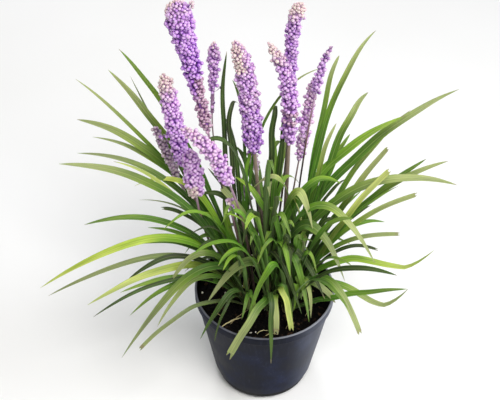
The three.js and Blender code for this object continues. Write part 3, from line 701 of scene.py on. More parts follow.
def keep(tree, geometry, name, value):
    """Stores a value on the geometry's points under a name."""
    values = {"Geometry": geometry, "Name": name, "Value": value}
    return node(tree, "GeometryNodeStoreNamedAttribute", values, data_type="FLOAT", domain="POINT")


def moved(tree, geometry, position):
    return node(tree, "GeometryNodeSetPosition", {"Geometry": geometry, "Position": position})


def new_tree(name, inputs):
    """A geometry tree with its named inputs; gives the tree, the input sockets and a closing step."""
    tree = bpy.data.node_groups.new(name, "GeometryNodeTree")
    tree.interface.new_socket("Geometry", in_out="INPUT", socket_type="NodeSocketGeometry")
    for label, value in inputs.items():
        kind = "Int" if isinstance(value, int) else "Float"
        made = tree.interface.new_socket(label, in_out="INPUT", socket_type=f"NodeSocket{kind}")
        made.default_value = value
    tree.interface.new_socket("Material", in_out="INPUT", socket_type="NodeSocketMaterial")
    tree.interface.new_socket("Geometry", in_out="OUTPUT", socket_type="NodeSocketGeometry")
    group = tree.nodes.new("NodeGroupInput")
    sockets = {socket.name: socket for socket in group.outputs if socket.name}

    def close(geometry):
        real = node(tree, "GeometryNodeRealizeInstances", {"Geometry": geometry})
        done = node(tree, "GeometryNodeSetMaterial", {"Geometry": real, "Material": sockets["Material"]})
        end = tree.nodes.new("NodeGroupOutput")
        tree.links.new(done, end.inputs[0])

    return tree, sockets, close


def grown(piece, tree, values):
    """Runs a geometry tree on a piece and gives back the result as a plain mesh object."""
    modifier = piece.modifiers.new(tree.name, "NODES")
    modifier.node_group = tree
    identifiers = {item.name: item.identifier for item in tree.interface.items_tree if item.in_out == "INPUT"}
    for label, value in values.items():
        modifier[identifiers[label]] = value
    return baked(piece)


def merged(name, pieces):
    """Several plain pieces as one, with their materials and named values."""
    with bpy.context.temp_override(active_object=pieces[0], selected_editable_objects=pieces):
        bpy.ops.object.join()
    pieces[0].name = name
    return pieces[0]


def dressed(piece, *nodes):
    """Attaches a finished piece to the plant, so it rides with it, and hides the nodes it stands for."""
    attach(piece, "root")
    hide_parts(*nodes)
    return piece


# ---------------------------------------------------------------- materials


def colour(code):
    """A colour written as on screen, as linear light."""
    parts = [int(code[i:i + 2], 16) / 255 for i in (1, 3, 5)]
    return (*[c / 12.92 if c <= 0.04045 else ((c + 0.055) / 1.055) ** 2.4 for c in parts], 1.0)


def new_material(name, roughness, specular=0.5):
    material = bpy.data.materials.new(name)
    material.use_nodes = True
    tree = material.node_tree
    shader = tree.nodes["Principled BSDF"]
    shader.inputs["Roughness"].default_value = roughness
    shader.inputs["Specular IOR Level"].default_value = specular
    return material, tree, shader


def values_of(tree, *names):
    """Named values of the surface, inside a material."""
    return [node(tree, "ShaderNodeAttribute", out=2, attribute_name=name) for name in names]


def mix(tree, factor, a, b):
    return node(tree, "ShaderNodeMix", {0: factor, 6: a, 7: b}, out=2, data_type="RGBA")


def tinted(tree, base, code, amount, share=1.0):
    """Lays a colour over another one, by a share of an amount."""
    return mix(tree, times(tree, amount, share), base, colour(code))


def swayed(tree, base, pattern, width):
    """A value that a pattern from 0 to 1 moves up and down."""
    return maths(tree, "MULTIPLY_ADD", maths(tree, "SUBTRACT", pattern, 0.5), width, base)


def ramp(tree, factor, stops):
    """A colour ramp through colours at their places."""
    made = tree.nodes.new("ShaderNodeValToRGB")
    elements = made.color_ramp.elements
    while len(elements) < len(stops):
        elements.new(0.5)
    for element, (place, code) in zip(elements, stops.items()):
        element.position = place
        element.color = colour(code)
    tree.links.new(factor, made.inputs[0])
    return made.outputs[0]


def step(tree, value, low, high, bottom=0.0, top=1.0):
    """Runs smoothly from bottom to top while the value goes from low to high."""
    values = {"Value": value, "From Min": low, "From Max": high, "To Min": bottom, "To Max": top}
    return node(tree, "ShaderNodeMapRange", values, interpolation_type="SMOOTHSTEP")


def noise(tree, vector, scale, detail=3.0, rough=0.55):
    values = {"Vector": vector, "Scale": scale, "Detail": detail, "Roughness": rough}
    return node(tree, "ShaderNodeTexNoise", values)


def stretched(tree, vector, scale):
    return node(tree, "ShaderNodeMapping", {"Vector": vector, "Scale": scale})


def place(tree, scale=(1, 1, 1)):
    """Object coordinates in metres, stretched."""
    return stretched(tree, node(tree, "ShaderNodeTexCoord", out="Object"), scale)


def bump(tree, shader, height, strength, distance):
    values = {"Height": height, "Strength": strength, "Distance": distance}
    tree.links.new(node(tree, "ShaderNodeBump", values), shader.inputs["Normal"])


def subsurface(shader, weight, radius, scale):
    for label, value in (("Weight", weight), ("Radius", radius), ("Scale", scale)):
        shader.inputs[f"Subsurface {label}"].default_value = value


def leaf_material():
    """Strap leaf: veins, pale edges and midrib, painted shade along the folds, duller underside, yellow foot,
    dry tip.
    """
    material, tree, shader = new_material("leaf", 0.42, 0.25)
    along, across, under, run = values_of(tree, "along", "across", "under", "run")
    tone, washed, dry, seed = values_of(tree, "tone", "washed", "dry", "seed")
    strip = node(tree, "ShaderNodeCombineXYZ", {"X": times(tree, across, 5.0), "Y": run, "Z": seed})
    patches = noise(tree, stretched(tree, strip, (0.12, 28.0, 1.0)), 1.0, 2.0)
    streaks = noise(tree, stretched(tree, strip, (1.3, 9.0, 1.0)), 2.2, 2.0)
    shade = swayed(tree, swayed(tree, tone, patches, 0.55), streaks, 0.2)
    green = ramp(tree, shade, {
        0: "#14210b", 0.2: "#2a4113", 0.45: "#52741f", 0.7: "#88a332", 0.87: "#b2c544", 1: "#d3df68"})
    faint = ramp(tree, shade, {0: "#3d4731", 0.3: "#66714a", 0.55: "#95a066", 0.78: "#b7bf80", 1: "#d4da9f"})
    vivid = ramp(tree, shade, {0: "#12210a", 0.25: "#2b5810", 0.5: "#55901b", 0.75: "#82b52a", 1: "#b3d640"})
    green = mix(tree, maths(tree, "MAXIMUM", washed, 0.0), green, faint)
    green = mix(tree, maths(tree, "MAXIMUM", times(tree, washed, -1.0), 0.0), green, vivid)
    side = maths(tree, "ABSOLUTE", across)
    veins = step(tree, maths(tree, "SINE", times(tree, across, 26.0)), -0.2, 1.0)
    rib = step(tree, side, 0.12, 0.03)
    # painted shade: a dark band on each side of the midrib, where the channel folds
    fold_shade = times(tree, step(tree, side, 0.1, 0.2), step(tree, side, 0.45, 0.24))
    edge = step(tree, side, 0.9, 0.98)
    foot = times(tree, step(tree, along, 0.1, 0.0), step(tree, tone, 0.1, 0.7, 0.1, 0.8))
    dried = step(tree, swayed(tree, dry, streaks, 0.5), 0.45, 0.75)
    haze = step(tree, washed, -0.5, 0.7, 0.03, 0.16)
    for code, amount, share in (
        ("#c3d58a", veins, 0.06), ("#c9da84", rib, 0.18), ("#14260c", fold_shade, 0.2), ("#b9cc7c", edge, 0.2),
        ("#7f9560", under, 0.3), ("#bcc67c", foot, 1.0), ("#8f8262", dried, 1.0), ("#aaa488", haze, 1.0),
    ):
        green = tinted(tree, green, code, amount, share)
    tree.links.new(green, shader.inputs["Base Color"])
    tree.links.new(step(tree, streaks, 0.3, 0.8, 0.34, 0.52), shader.inputs["Roughness"])
    bump(tree, shader, maths(tree, "MULTIPLY_ADD", streaks, 0.4, times(tree, veins, 0.6)), 0.35, 0.0004)
    subsurface(shader, 0.12, (0.5, 1.0, 0.15), 0.0012)
    return material


def stalk_material():
    """Fleshy stalk: dark and brown at the foot, mauve towards the head."""
    material, tree, shader = new_material("stalk", 0.45)
    along, seed, brown, dark = values_of(tree, "along", "seed", "brown", "dark")
    grain = noise(tree, place(tree, (1, 1, 0.12)), 1400.0, 3.0)
    blotch = noise(tree, place(tree, (1, 1, 0.4)), 160.0, 2.0)
    shade = maths(tree, "MULTIPLY_ADD", seed, 0.1, swayed(tree, along, blotch, 0.35))
    skin = ramp(tree, shade, {0: "#1d140f", 0.35: "#33231d", 0.62: "#5a4138", 0.82: "#84626a", 1: "#a985a8"})
    husk = ramp(tree, shade, {0: "#191510", 0.4: "#3f352a", 0.7: "#6f6253", 1: "#8b7b6c"})
    skin = mix(tree, brown, skin, husk)
    skin = tinted(tree, skin, "#b39a92", step(tree, grain, 0.4, 0.75), 0.3)
    skin = tinted(tree, skin, "#17110f", dark, step(tree, along, 0.7, 0.5, 0.0, 0.85))
    tree.links.new(skin, shader.inputs["Base Color"])
    bump(tree, shader, grain, 0.4, 0.0003)
    return material


def bud_material():
    """Waxy bud: painted shade, deep purple, at its foot where it sits among the others, lilac on
    its round and a painted highlight, pale, at its tip; cream or faded where the head says so."""
    material, tree, shader = new_material("bud", 0.42, 0.4)
    lift, tone, pink, dull, faded, cream = values_of(tree, "lift", "tone", "pink", "dull", "faded", "cream")
    # painted shade and highlight: lift runs from the bud's foot to its tip, so each ramp darkens it below and
    # lightens it on top
    shade = swayed(tree, swayed(tree, lift, noise(tree, place(tree), 900.0, 2.0), 0.25), tone, 0.35)
    skin = ramp(tree, shade, {0: "#421b74", 0.3: "#6a309f", 0.55: "#8e51b9", 0.78: "#ab75cc", 1: "#caa0de"})
    for share, stops in (
        (pink, {0: "#6f4290", 0.3: "#9d68b8", 0.55: "#be8acc", 0.78: "#d0a4d8", 1: "#e4c4ea"}),
        (dull, {0: "#43343f", 0.4: "#75646a", 0.75: "#9a8b8e", 1: "#b8adaa"}),
        (faded, {0: "#6c4c6a", 0.4: "#8e6a88", 0.75: "#a9869f", 1: "#c8a9ba"}),
        (cream, {0: "#ae8fa2", 0.35: "#c2a6b0", 0.7: "#d3bbbb", 1: "#e0cfc9"}),
    ):
        skin = mix(tree, share, skin, ramp(tree, shade, stops))
    tree.links.new(skin, shader.inputs["Base Color"])
    subsurface(shader, 0.35, (1.0, 0.5, 1.0), 0.0015)
    return material


def soil_material():
    """Moist potting mix: near black, with brown fibre."""
    material, tree, shader = new_material("soil", 0.95, 0.06)
    coarse = noise(tree, place(tree), 260.0, 6.0, 0.7)
    fine = noise(tree, place(tree), 1500.0, 4.0, 0.7)
    earth = ramp(tree, coarse, {0.3: "#030203", 0.5: "#060505", 0.7: "#0e0b0a", 0.88: "#2a1e17"})
    earth = tinted(tree, earth, "#4f3b2e", step(tree, fine, 0.7, 0.8), 0.3)
    tree.links.new(earth, shader.inputs["Base Color"])
    tree.links.new(step(tree, coarse, 0.3, 0.7, 0.6, 0.95), shader.inputs["Roughness"])
    bump(tree, shader, fine, 0.7, 0.0008)
    return material


def bits_material():
    """Loose bits on the soil: white perlite, brown bark and dry straw by their own value."""
    material, tree, shader = new_material("bits", 0.85, 0.1)
    grit = noise(tree, place(tree), 1800.0, 4.0)
    shell = ramp(tree, values_of(tree, "kind")[0], {
        0: "#040303", 0.3: "#0d0908", 0.55: "#372619", 0.75: "#a1936c", 0.88: "#d9cf9e", 1: "#e8e6e0"})
    shell = tinted(tree, shell, "#3b2f28", step(tree, grit, 0.5, 0.8), 0.35)
    tree.links.new(shell, shader.inputs["Base Color"])
    bump(tree, shader, grit, 0.5, 0.0004)
    return material


def pot_material():
    """Moulded black plastic: soft sheen, faint drawn streaks, dusty scuffs, painted sheen on the right side,
    painted rim highlight and painted shade inside.
    """
    material, tree, shader = new_material("pot_plastic", 0.55, 0.07)
    spot = place(tree)
    streak = noise(tree, place(tree, (1, 1, 0.06)), 320.0, 3.0)
    cloud = noise(tree, spot, 26.0, 4.0, 0.6)
    speck = noise(tree, spot, 1300.0, 2.0)
    sideways, _, height = split(tree, spot)
    level = stretched(tree, spot, (1, 1, 0))
    radius = node(tree, "ShaderNodeVectorMath", {0: level}, out=1, operation="LENGTH")
    slope = (RIM_RADIUS - RIM_STEP - BASE_RADIUS) / (POT_HEIGHT - RIM_BAND)
    shell = maths(tree, "MULTIPLY_ADD", height, slope, (BASE_RADIUS - WALL / 2) * MM)
    # painted shade: the inside of the pot is darkened almost to black
    inside = step(tree, maths(tree, "SUBTRACT", shell, radius), -0.0002, 0.0002)
    dust = times(tree, step(tree, speck, 0.66, 0.74), step(tree, cloud, 0.45, 0.7))
    # painted sheen: a patchy paler grey-blue over the pot's right side, where the side light falls
    painted_sheen = times(tree, step(tree, sideways, 0.02, 0.062), step(tree, cloud, 0.3, 0.7, 0.4, 0.9))
    # painted highlight: a pale line along the top of the rim, stronger on the right half (next line)
    rim = step(tree, height, (POT_HEIGHT - 0.9) * MM, (POT_HEIGHT - 0.1) * MM)
    rim_highlight_side = step(tree, sideways, -0.01, 0.04, 0.3, 0.75)
    plastic = ramp(tree, cloud, {0.3: "#11131a", 0.5: "#181b28", 0.7: "#232940"})
    for code, amount, share in (
        ("#454959", step(tree, streak, 0.5, 0.75), 0.15), ("#b7b2a6", dust, 0.3), ("#696e7e", painted_sheen, 1.0),
        ("#030304", inside, 0.95), ("#9b9da8", rim, rim_highlight_side),
    ):
        plastic = tinted(tree, plastic, code, amount, share)
    tree.links.new(plastic, shader.inputs["Base Color"])
    rough = maths(tree, "MULTIPLY_ADD", streak, 0.18, step(tree, cloud, 0.3, 0.7, 0.34, 0.5))
    tree.links.new(rough, shader.inputs["Roughness"])
    bump(tree, shader, maths(tree, "MULTIPLY_ADD", streak, 0.6, times(tree, speck, 0.4)), 0.12, 0.0006)
    return material


# ---------------------------------------------------------------- geometry trees


def sweep_tree():
    """Sweeps a thin channelled section along lines of points. Each point says its half width
    and which way its side looks."""
    tree, inputs, close = new_tree("Leaf sweep", {"Section Points": 14, "Thickness": 0.09, "Channel": 0.26})
    curve = node(tree, "GeometryNodeMeshToCurve", {"Mesh": inputs["Geometry"]})
    sides = named(tree, "side", "FLOAT_VECTOR")
    curve = node(tree, "GeometryNodeSetCurveNormal", {"Curve": curve, "Normal": sides}, mode="FREE")
    section = node(tree, "GeometryNodeCurvePrimitiveCircle", {
        "Resolution": inputs["Section Points"], "Radius": 1.0})
    x, y, _ = split(tree, node(tree, "GeometryNodeInputPosition"))
    section = keep(tree, section, "across", x)
    section = keep(tree, section, "under", maths(tree, "LESS_THAN", y, -0.001))
    wing = maths(tree, "POWER", maths(tree, "ABSOLUTE", x), 1.25)
    valley = times(tree, maths(tree, "SUBTRACT", wing, 1.0), inputs["Channel"])
    flat = maths(tree, "MULTIPLY_ADD", y, inputs["Thickness"], valley)
    section = moved(tree, section, node(tree, "ShaderNodeCombineXYZ", {"X": x, "Y": flat, "Z": 0.0}))
    strap = node(tree, "GeometryNodeCurveToMesh", {
        "Curve": curve, "Profile Curve": section, "Scale": named(tree, "half_width"), "Fill Caps": True})
    close(node(tree, "GeometryNodeSetShadeSmooth", {"Geometry": strap}))
    return tree


def bud_tree():
    """Sets a closed bud on every point, looking along the point's own way."""
    tree, inputs, close = new_tree("Bud cover", {"Bud Radius": 0.002})
    bead = node(tree, "GeometryNodeMeshUVSphere", {"Segments": 9, "Rings": 6, "Radius": 1.0})
    spot = node(tree, "GeometryNodeInputPosition")
    height = split(tree, spot)[2]
    # lift: 0 at the bud's foot, 1 at its tip; the bud material paints shade and highlight from it
    bead = keep(tree, bead, "lift", maths(tree, "MULTIPLY_ADD", height, 0.5, 0.5))
    narrow = maths(tree, "MULTIPLY_ADD", height, 0.1, 0.95)
    spread = node(tree, "ShaderNodeCombineXYZ", {"X": narrow, "Y": narrow, "Z": 1.12})
    bead = moved(tree, bead, node(tree, "ShaderNodeVectorMath", {0: spot, 1: spread}, operation="MULTIPLY"))
    bead = node(tree, "GeometryNodeSetShadeSmooth", {"Geometry": bead})
    points = node(tree, "GeometryNodeMeshToPoints", {"Mesh": inputs["Geometry"]})
    way = named(tree, "way", "FLOAT_VECTOR")
    turned = node(tree, "FunctionNodeAlignRotationToVector", {"Vector": way}, axis="Z")
    size = times(tree, named(tree, "size"), inputs["Bud Radius"])
    close(node(tree, "GeometryNodeInstanceOnPoints", {
        "Points": points, "Instance": bead, "Rotation": turned, "Scale": size}))
    return tree


def crumb_tree():
    """Scatters rough lumps over a surface, from crumbs up to bits of bark or perlite."""
    tree, inputs, close = new_tree("Crumb scatter", {
        "Density": 100000.0, "Smallest": 0.0005, "Largest": 0.0016, "Kind Low": 0.0, "Kind High": 0.4,
        "Seed": 1})
    points = node(tree, "GeometryNodeDistributePointsOnFaces", {
        "Mesh": inputs["Geometry"], "Density": inputs["Density"], "Seed": inputs["Seed"]})
    lump = node(tree, "GeometryNodeMeshIcoSphere", {"Radius": 1.0, "Subdivisions": 2})
    spot = node(tree, "GeometryNodeInputPosition")
    rough = node(tree, "ShaderNodeTexNoise", {"Vector": spot, "Scale": 1.4, "Detail": 2.0})

    def scaled(vector, scale):
        return node(tree, "ShaderNodeVectorMath", {0: vector, "Scale": scale}, operation="SCALE")

    def drawn(low, high, seed, kind="FLOAT"):
        low_slot, high_slot, out = ("Min_001", "Max_001", 1) if kind == "FLOAT" else ("Min", "Max", 0)
        made = tree.nodes.new("FunctionNodeRandomValue")
        made.data_type = kind
        by_id = {socket.identifier: socket for socket in made.inputs}
        for slot, value in ((low_slot, low), (high_slot, high), ("Seed", seed)):
            if isinstance(value, bpy.types.NodeSocket):
                tree.links.new(value, by_id[slot])
            else:
                by_id[slot].default_value = value
        return made.outputs[out]

    lump = moved(tree, lump, scaled(spot, maths(tree, "MULTIPLY_ADD", rough, 1.3, 0.35)))
    points = keep(tree, points, "kind", drawn(inputs["Kind Low"], inputs["Kind High"], 3))
    any_turn = drawn((0, 0, 0), (6.3, 6.3, 6.3), 4, "FLOAT_VECTOR")
    stretch = drawn((0.6, 0.6, 0.45), (1.25, 1.0, 0.9), 6, "FLOAT_VECTOR")
    close(node(tree, "GeometryNodeInstanceOnPoints", {
        "Points": points, "Instance": lump,
        "Rotation": node(tree, "FunctionNodeEulerToRotation", {0: any_turn}),
        "Scale": scaled(stretch, drawn(inputs["Smallest"], inputs["Largest"], 5))}))
    return tree


# ---------------------------------------------------------------- leaves


def lines_object(name, lines):
    """One object of open lines; each line is a dict of points and their values."""
    edges = []
    start = 0
    for line in lines:
        count = len(line["points"])
        edges += [(start + i, start + i + 1) for i in range(count - 1)]
        start += count
    values = {key: np.concatenate([line[key] for line in lines]) for key in lines[0]}
    return mesh_object(name, values.pop("points"), edges=edges, attributes=values)


def plain_line(points, widths, **values):
    """A line with half widths in mm and values that are even or one for each point."""
    count = len(points)
    even = {key: np.broadcast_to(value, count) for key, value in values.items()}
    sides = np.tile((1.0, 0.0, 0.0), (count, 1))
    return dict(points=points, side=sides, half_width=np.asarray(widths) * MM, **even)


def strap_line(points, widths, tone, washed=0.0, dry=0.0, roll=0.0):
    """The line of one strap from its points, half widths in mm, colours and roll in radians."""
    count = len(points)
    tangents = unit(np.gradient(points, axis=0))
    sides = unit(np.cross(UP, tangents))
    faces = np.cross(tangents, sides)
    turn = np.broadcast_to(roll, count)[:, None]
    run = np.concatenate([[0], np.cumsum(np.linalg.norm(np.diff(points, axis=0), axis=1))]) * MM
    line = plain_line(points, np.maximum(widths, 0.12), along=np.linspace(0, 1, count), run=run, tone=tone,
                      washed=washed, dry=dry, seed=fine_draws.uniform(0, 50))
    return {**line, "side": sides * np.cos(turn) + faces * np.sin(turn)}


def torn_lines(strap, length):
    """Two ragged teeth at the cut end of a strap."""
    end_point = strap["points"][-1]
    way = unit(end_point - strap["points"][-2])
    side, half = strap["side"][-1], strap["half_width"][-1] / MM
    lines = []
    for across in (-0.5, 0.5):
        start = end_point + side * across * half - way * 1.5
        end = start + way * (1.5 + length * fine_draws.uniform(0.6, 1.2)) + side * across * 0.25 * length
        lines.append(strap_line(bezier(start, (start + end) / 2, end, 6), half * np.linspace(0.5, 0.08, 6),
                                strap["tone"][-1], strap["washed"][-1], np.linspace(0.2, 0.7, 6)))
    return lines


def leaf_lines(row, arch, slimness):
    """A fine leaf on the arch of its blade, with its own small waves and twist."""
    points, sides, faces, widths, shares = blade_frame(arch, row, BLADE_POINTS)
    widths = widths.max() * slimness * (widths / widths.max()) ** FULLNESS
    sag, flick = eased(shares, *SAG) ** 1.5, eased(shares, *FLICK) ** 1.6
    points[:, 2] += row.flick * (FLICK_SHARE * flick - sag)
    inner, outer, washed_inner, washed_outer = LEAF_TONES[row.tone]
    shift = fine_draws.uniform(-0.08, 0.08)
    tone = inner + (outer - inner) * eased(shares, *TONE_CHANGE) + shift
    washed = washed_inner + (washed_outer - washed_inner) * eased(shares, *FADING)
    phase = fine_draws.uniform(0, 6.3)
    waves = fine_draws.uniform(1.5, 3.5)
    ease = np.sin(np.pi * shares)
    points = points + sides * (WAVE_ACROSS * ease * np.sin(phase + waves * 2 * np.pi * shares))[:, None]
    points = points + faces * (WAVE_OUT * ease * np.sin(phase * 2 + 6 * shares))[:, None]
    start = fine_draws.uniform(0.97, 1.03)
    dry = np.clip((shares - start) / 0.06 + 0.5, 0, 1)
    roll = fine_draws.uniform(-0.3, 0.3) * shares**1.5 + FRONT_ROLL * sides[:, 1] * ease**0.5
    strap = strap_line(points, widths, tone, washed, dry, roll)
    if not row.cut:
        return [strap]
    return [strap, *torn_lines(strap, LONG_TEAR if row.cut == 2 else fine_draws.uniform(1.5, 3))]


def sheath_lines(tuft):
    """Short pale and brown leaf bases wrapped round a crown."""
    lines = []
    for i in range(SHEATHS):
        angle = 2 * math.pi * (i + fine_draws.uniform(-0.3, 0.3)) / SHEATHS
        out = np.array([math.cos(angle), math.sin(angle), 0.0])
        foot = np.array([tuft.x, tuft.y, CROWN_FOOT]) + out * (CROWN_RADIUS - 1.2)
        rise = fine_draws.uniform(18, 34)
        tip = foot + out * fine_draws.uniform(1, 5) + UP * rise
        points = bezier(foot, foot + UP * rise * 0.6, tip, 8)
        dry = fine_draws.choice((0.0, 0.2, 1.0))
        lines.append(strap_line(points, np.linspace(2.6, 0.5, 8), fine_draws.uniform(0.1, 0.8), 0.4, dry))
    return lines


def build_clump(name, tufts, placed, sweep, material):
    lines = []
    for tuft in tufts:
        listed = BLADES[tuft] + HEART_BLADES.get(tuft, [])
        for row, arch, _ in placed[tuft]:
            seeded = 1.0 if row in listed else SEEDED_SLIMNESS
            lines += leaf_lines(row, arch, SLIMNESS[tuft] * seeded)
    lines += [line for tuft in tufts for line in sheath_lines(TUFTS[tuft])]
    piece = grown(lines_object(f"leaves_{name}", lines), sweep, {"Material": material})
    return dressed(piece, f"tuft_{name}")


# ---------------------------------------------------------------- stalks and heads


def round_swept(name, lines, sides, sweep, material):
    """Round stems along lines."""
    return grown(lines_object(name, lines), sweep, {
        "Section Points": sides, "Thickness": 1.0, "Channel": 0.0, "Material": material})


def build_stalk(name, spike, sweep, material):
    points = np.concatenate([[[*spike.root, STALK_FOOT]], stalk_curve(spike, 26)])
    s = np.linspace(0, 1, len(points))
    brown, dark, slim = STALK_LOOKS.get(name, USUAL_STALK)
    line = plain_line(points, stem_radius(spike, s) * (1 - slim), along=s, seed=fine_draws.uniform(0, 1),
                      brown=brown, dark=dark)
    return dressed(round_swept(f"stem_{name}", [line], 12, sweep, material), f"stalk_{name}")


def head_profile(spike, inset):
    """The head's outline as shares along the axis and radii, closed over the tip."""
    shares = np.linspace(0, 1, 160)
    radii = np.array([max(0.3, head_radius(spike, t) - inset) for t in shares])
    closing = radii[-1] * np.linspace(1, 0.02, 8)[1:]
    return np.concatenate([shares, np.ones(len(closing))]), np.concatenate([radii, closing])


def around(spike, angle):
    """The way out of the head's axis at an angle, and the axis."""
    heading = unit(head_axis(spike))
    right = unit(np.cross((0.0, 1.0, 0.0), heading))
    return right * math.cos(angle) + np.cross(heading, right) * math.sin(angle), heading


def spotted(share):
    """How far one bud has a finish that a share of its neighbours have."""
    return 0.0 if share < 0.03 else clamped((share - 0.5) * 2.5 + 0.5 + fine_draws.uniform(-0.35, 0.35))


def finish_of(finish, kind, t, angle):
    """A finish at a place of the head, from its bands and its patches."""
    share = banded(finish[kind], t)
    for name, low, high, side in finish["patches"]:
        if name == kind and low <= t <= high:
            share = max(share, min(1.0, 0.4 + 0.9 * math.cos(angle - math.radians(side))))
    return share


def bud_points(spike, finish):
    """Buds in a golden-angle spiral over the head's outline, swelling into whorls. Also the short
    stems of the buds that stand free."""
    length = head_length(spike)
    shares, radii = head_profile(spike, BUD_RADIUS * 1.3)
    steps = np.hypot(np.diff(shares) * length, np.diff(radii))
    total = np.concatenate([[0], np.cumsum(np.pi * (radii[1:] + radii[:-1]) * steps)])
    points, ways, values, stems = [], [], [], []
    for k in range(int(total[-1] / BUD_AREA)):
        area = (k + 0.5) * BUD_AREA
        t = float(np.interp(area, total, shares))
        radius = float(np.interp(area, total, radii))
        angle = k * GOLDEN_TURN + fine_draws.uniform(-0.14, 0.14)
        lean = 1.3 * math.sin(2 * angle + spike.root[0])
        swell = math.cos(2 * math.pi * t * length / WHORL_STEP + lean)
        full = banded(finish["full"], t)
        if fine_draws.random() > full + (1 - full) * 0.9 * swell:
            continue
        out, heading = around(spike, angle)
        knot = math.sin(3 * angle + 0.5 * t * length + spike.root[1])
        dome = clamped((t - DOME_FROM) / (1 - DOME_FROM))
        stray = fine_draws.random() < STRAY_SHARE * (1 - dome)
        relief = WHORL_RELIEF * swell + KNOT_RELIEF * knot + STRAY_RELIEF * stray
        lift = fine_draws.uniform(-0.8, 0.6) + relief * (1 - dome)
        ways.append(unit(out + heading * (fine_draws.uniform(0.1, 0.5) + 1.3 * dome**2)))
        axis = head_point(spike, t)
        points.append(axis + out * (radius + lift))
        cream = spotted(finish_of(finish, "cream", t, angle))
        faded = spotted(finish_of(finish, "faded", t, angle))
        size = fine_draws.uniform(0.84, 1.16) * (1 - 0.2 * dome) * (1 - 0.06 * max(cream, faded))
        pink = clamped(banded(finish["pink"], t) + fine_draws.uniform(-0.25, 0.25))
        dull = clamped(finish["dull"] + fine_draws.uniform(-0.15, 0.15))
        # tone: random, and lower (painted shade) for buds in the hollows between whorls and knots
        tone = clamped(0.5 + 0.2 * swell + 0.25 * knot + fine_draws.uniform(-0.35, 0.35))
        values.append((size, tone, cream, faded, dull, pink))
        if full < 0.8 or stray:
            middle = axis + out * (radius + lift) * 0.5 - heading * 0.6
            stems.append(np.stack([axis + heading * -1.5, middle, points[-1]]))
    for t, side, reach, rise, count in finish["sprigs"]:
        out, heading = around(spike, math.radians(side))
        axis = head_point(spike, t)
        end = axis + out * reach + UP * rise
        stems.append(np.stack([axis, (axis + end) / 2 - UP, end]))
        for _ in range(count):
            way = unit(np.array([fine_draws.uniform(-1, 1) for _ in range(3)]) + out * 0.4)
            points.append(end + way * BUD_RADIUS * 0.95)
            ways.append(way)
            values.append((fine_draws.uniform(0.8, 1.05), 0.5, 0.8 * (t > 0.9), 0.2, finish["dull"],
                           banded(finish["pink"], t)))
    keys = ("size", "tone", "cream", "faded", "dull", "pink")
    return np.array(points), dict(way=np.array(ways), **dict(zip(keys, np.array(values).T))), stems


def stem_line(points, widths, lift, faded, finish, cream=0.0):
    """The line of a round stem inside a head; the values are those of the buds."""
    return plain_line(points, widths, lift=lift, tone=0.5, cream=cream, faded=faded, dull=finish["dull"],
                      pink=finish["pink"][0])


def head_core(spike, finish):
    """The rachis under the buds: slim where the buds are loose, nearly as wide as them above."""
    shares = np.linspace(0.0, 0.985, 40)
    points = np.array([head_point(spike, t) for t in shares])
    wide = np.array([max(0.8, head_radius(spike, t) - 1.75 * BUD_RADIUS) for t in shares])
    full, cream = (np.array([banded(finish[kind], t) for t in shares]) for kind in ("full", "cream"))
    for name, low, high, _ in finish["patches"]:
        if name == "cream":
            cream = np.where((shares >= low) & (shares <= high), np.maximum(cream, 0.6), cream)
    packed = eased(full, 0.5, 0.4)
    slim = stem_radius(spike, 1.0) + 0.5
    # painted shade: the rachis between packed buds takes the dark foot of the bud ramps, lighter where the
    # buds are loose
    lift = 0.25 + 0.35 * (1 - packed)
    return stem_line(points, slim + (wide - slim) * packed, lift, 0.8 * (1 - packed), finish, 0.9 * cream)


def build_head(name, spike, sweep, cover, material):
    finish = {**USUAL_FINISH, **FINISH[name]}
    points, values, stems = bud_points(spike, finish)
    dots = mesh_object(f"buds_{name}", points, attributes=values)
    parts = [grown(dots, cover, {"Bud Radius": BUD_RADIUS * MM, "Material": material}),
             round_swept(f"core_{name}", [head_core(spike, finish)], 14, sweep, material)]
    if stems:
        lines = [stem_line(stem, (0.7, 0.45, 0.4), 0.6, 0.5, finish) for stem in stems]
        parts.append(round_swept(f"pedicels_{name}", lines, 5, sweep, material))
    return dressed(merged(f"buds_{name}", parts), f"head_{name}")


# ---------------------------------------------------------------- pot and soil


def circle(radius, count):
    """x and y at even turns round the axis."""
    turns = [2 * math.pi * i / count for i in range(count)]
    return [(radius * math.cos(a), radius * math.sin(a)) for a in turns]


def ring_faces(first, rings, sides):
    """Faces between rings of points that follow one another."""
    return [(low + i, low + sides + i, low + sides + (i + 1) % sides, low + (i + 1) % sides)
            for low in range(first, first + rings * sides, sides) for i in range(sides)]


def lathe(name, outline, sides):
    """A closed turned body from an outline of (radius, height) that starts and ends on the axis."""
    mesh = bmesh.new()
    rings = [[mesh.verts.new((x * MM, y * MM, z * MM)) for x, y in circle(r, sides if r else 1)]
             for r, z in outline]
    for low, high in zip(rings, rings[1:]):
        for i in range(sides):
            j = (i + 1) % sides
            corners = [low[i % len(low)], low[j % len(low)], high[j % len(high)], high[i % len(high)]]
            mesh.faces.new(list(dict.fromkeys(corners)))
    bmesh.ops.recalc_face_normals(mesh, faces=mesh.faces)
    return from_bmesh(name, mesh)


def arc(centre_r, centre_z, radius, start, end, steps):
    angles = np.radians(np.linspace(start, end, steps))
    return [(centre_r + radius * math.cos(a), centre_z + radius * math.sin(a)) for a in angles]


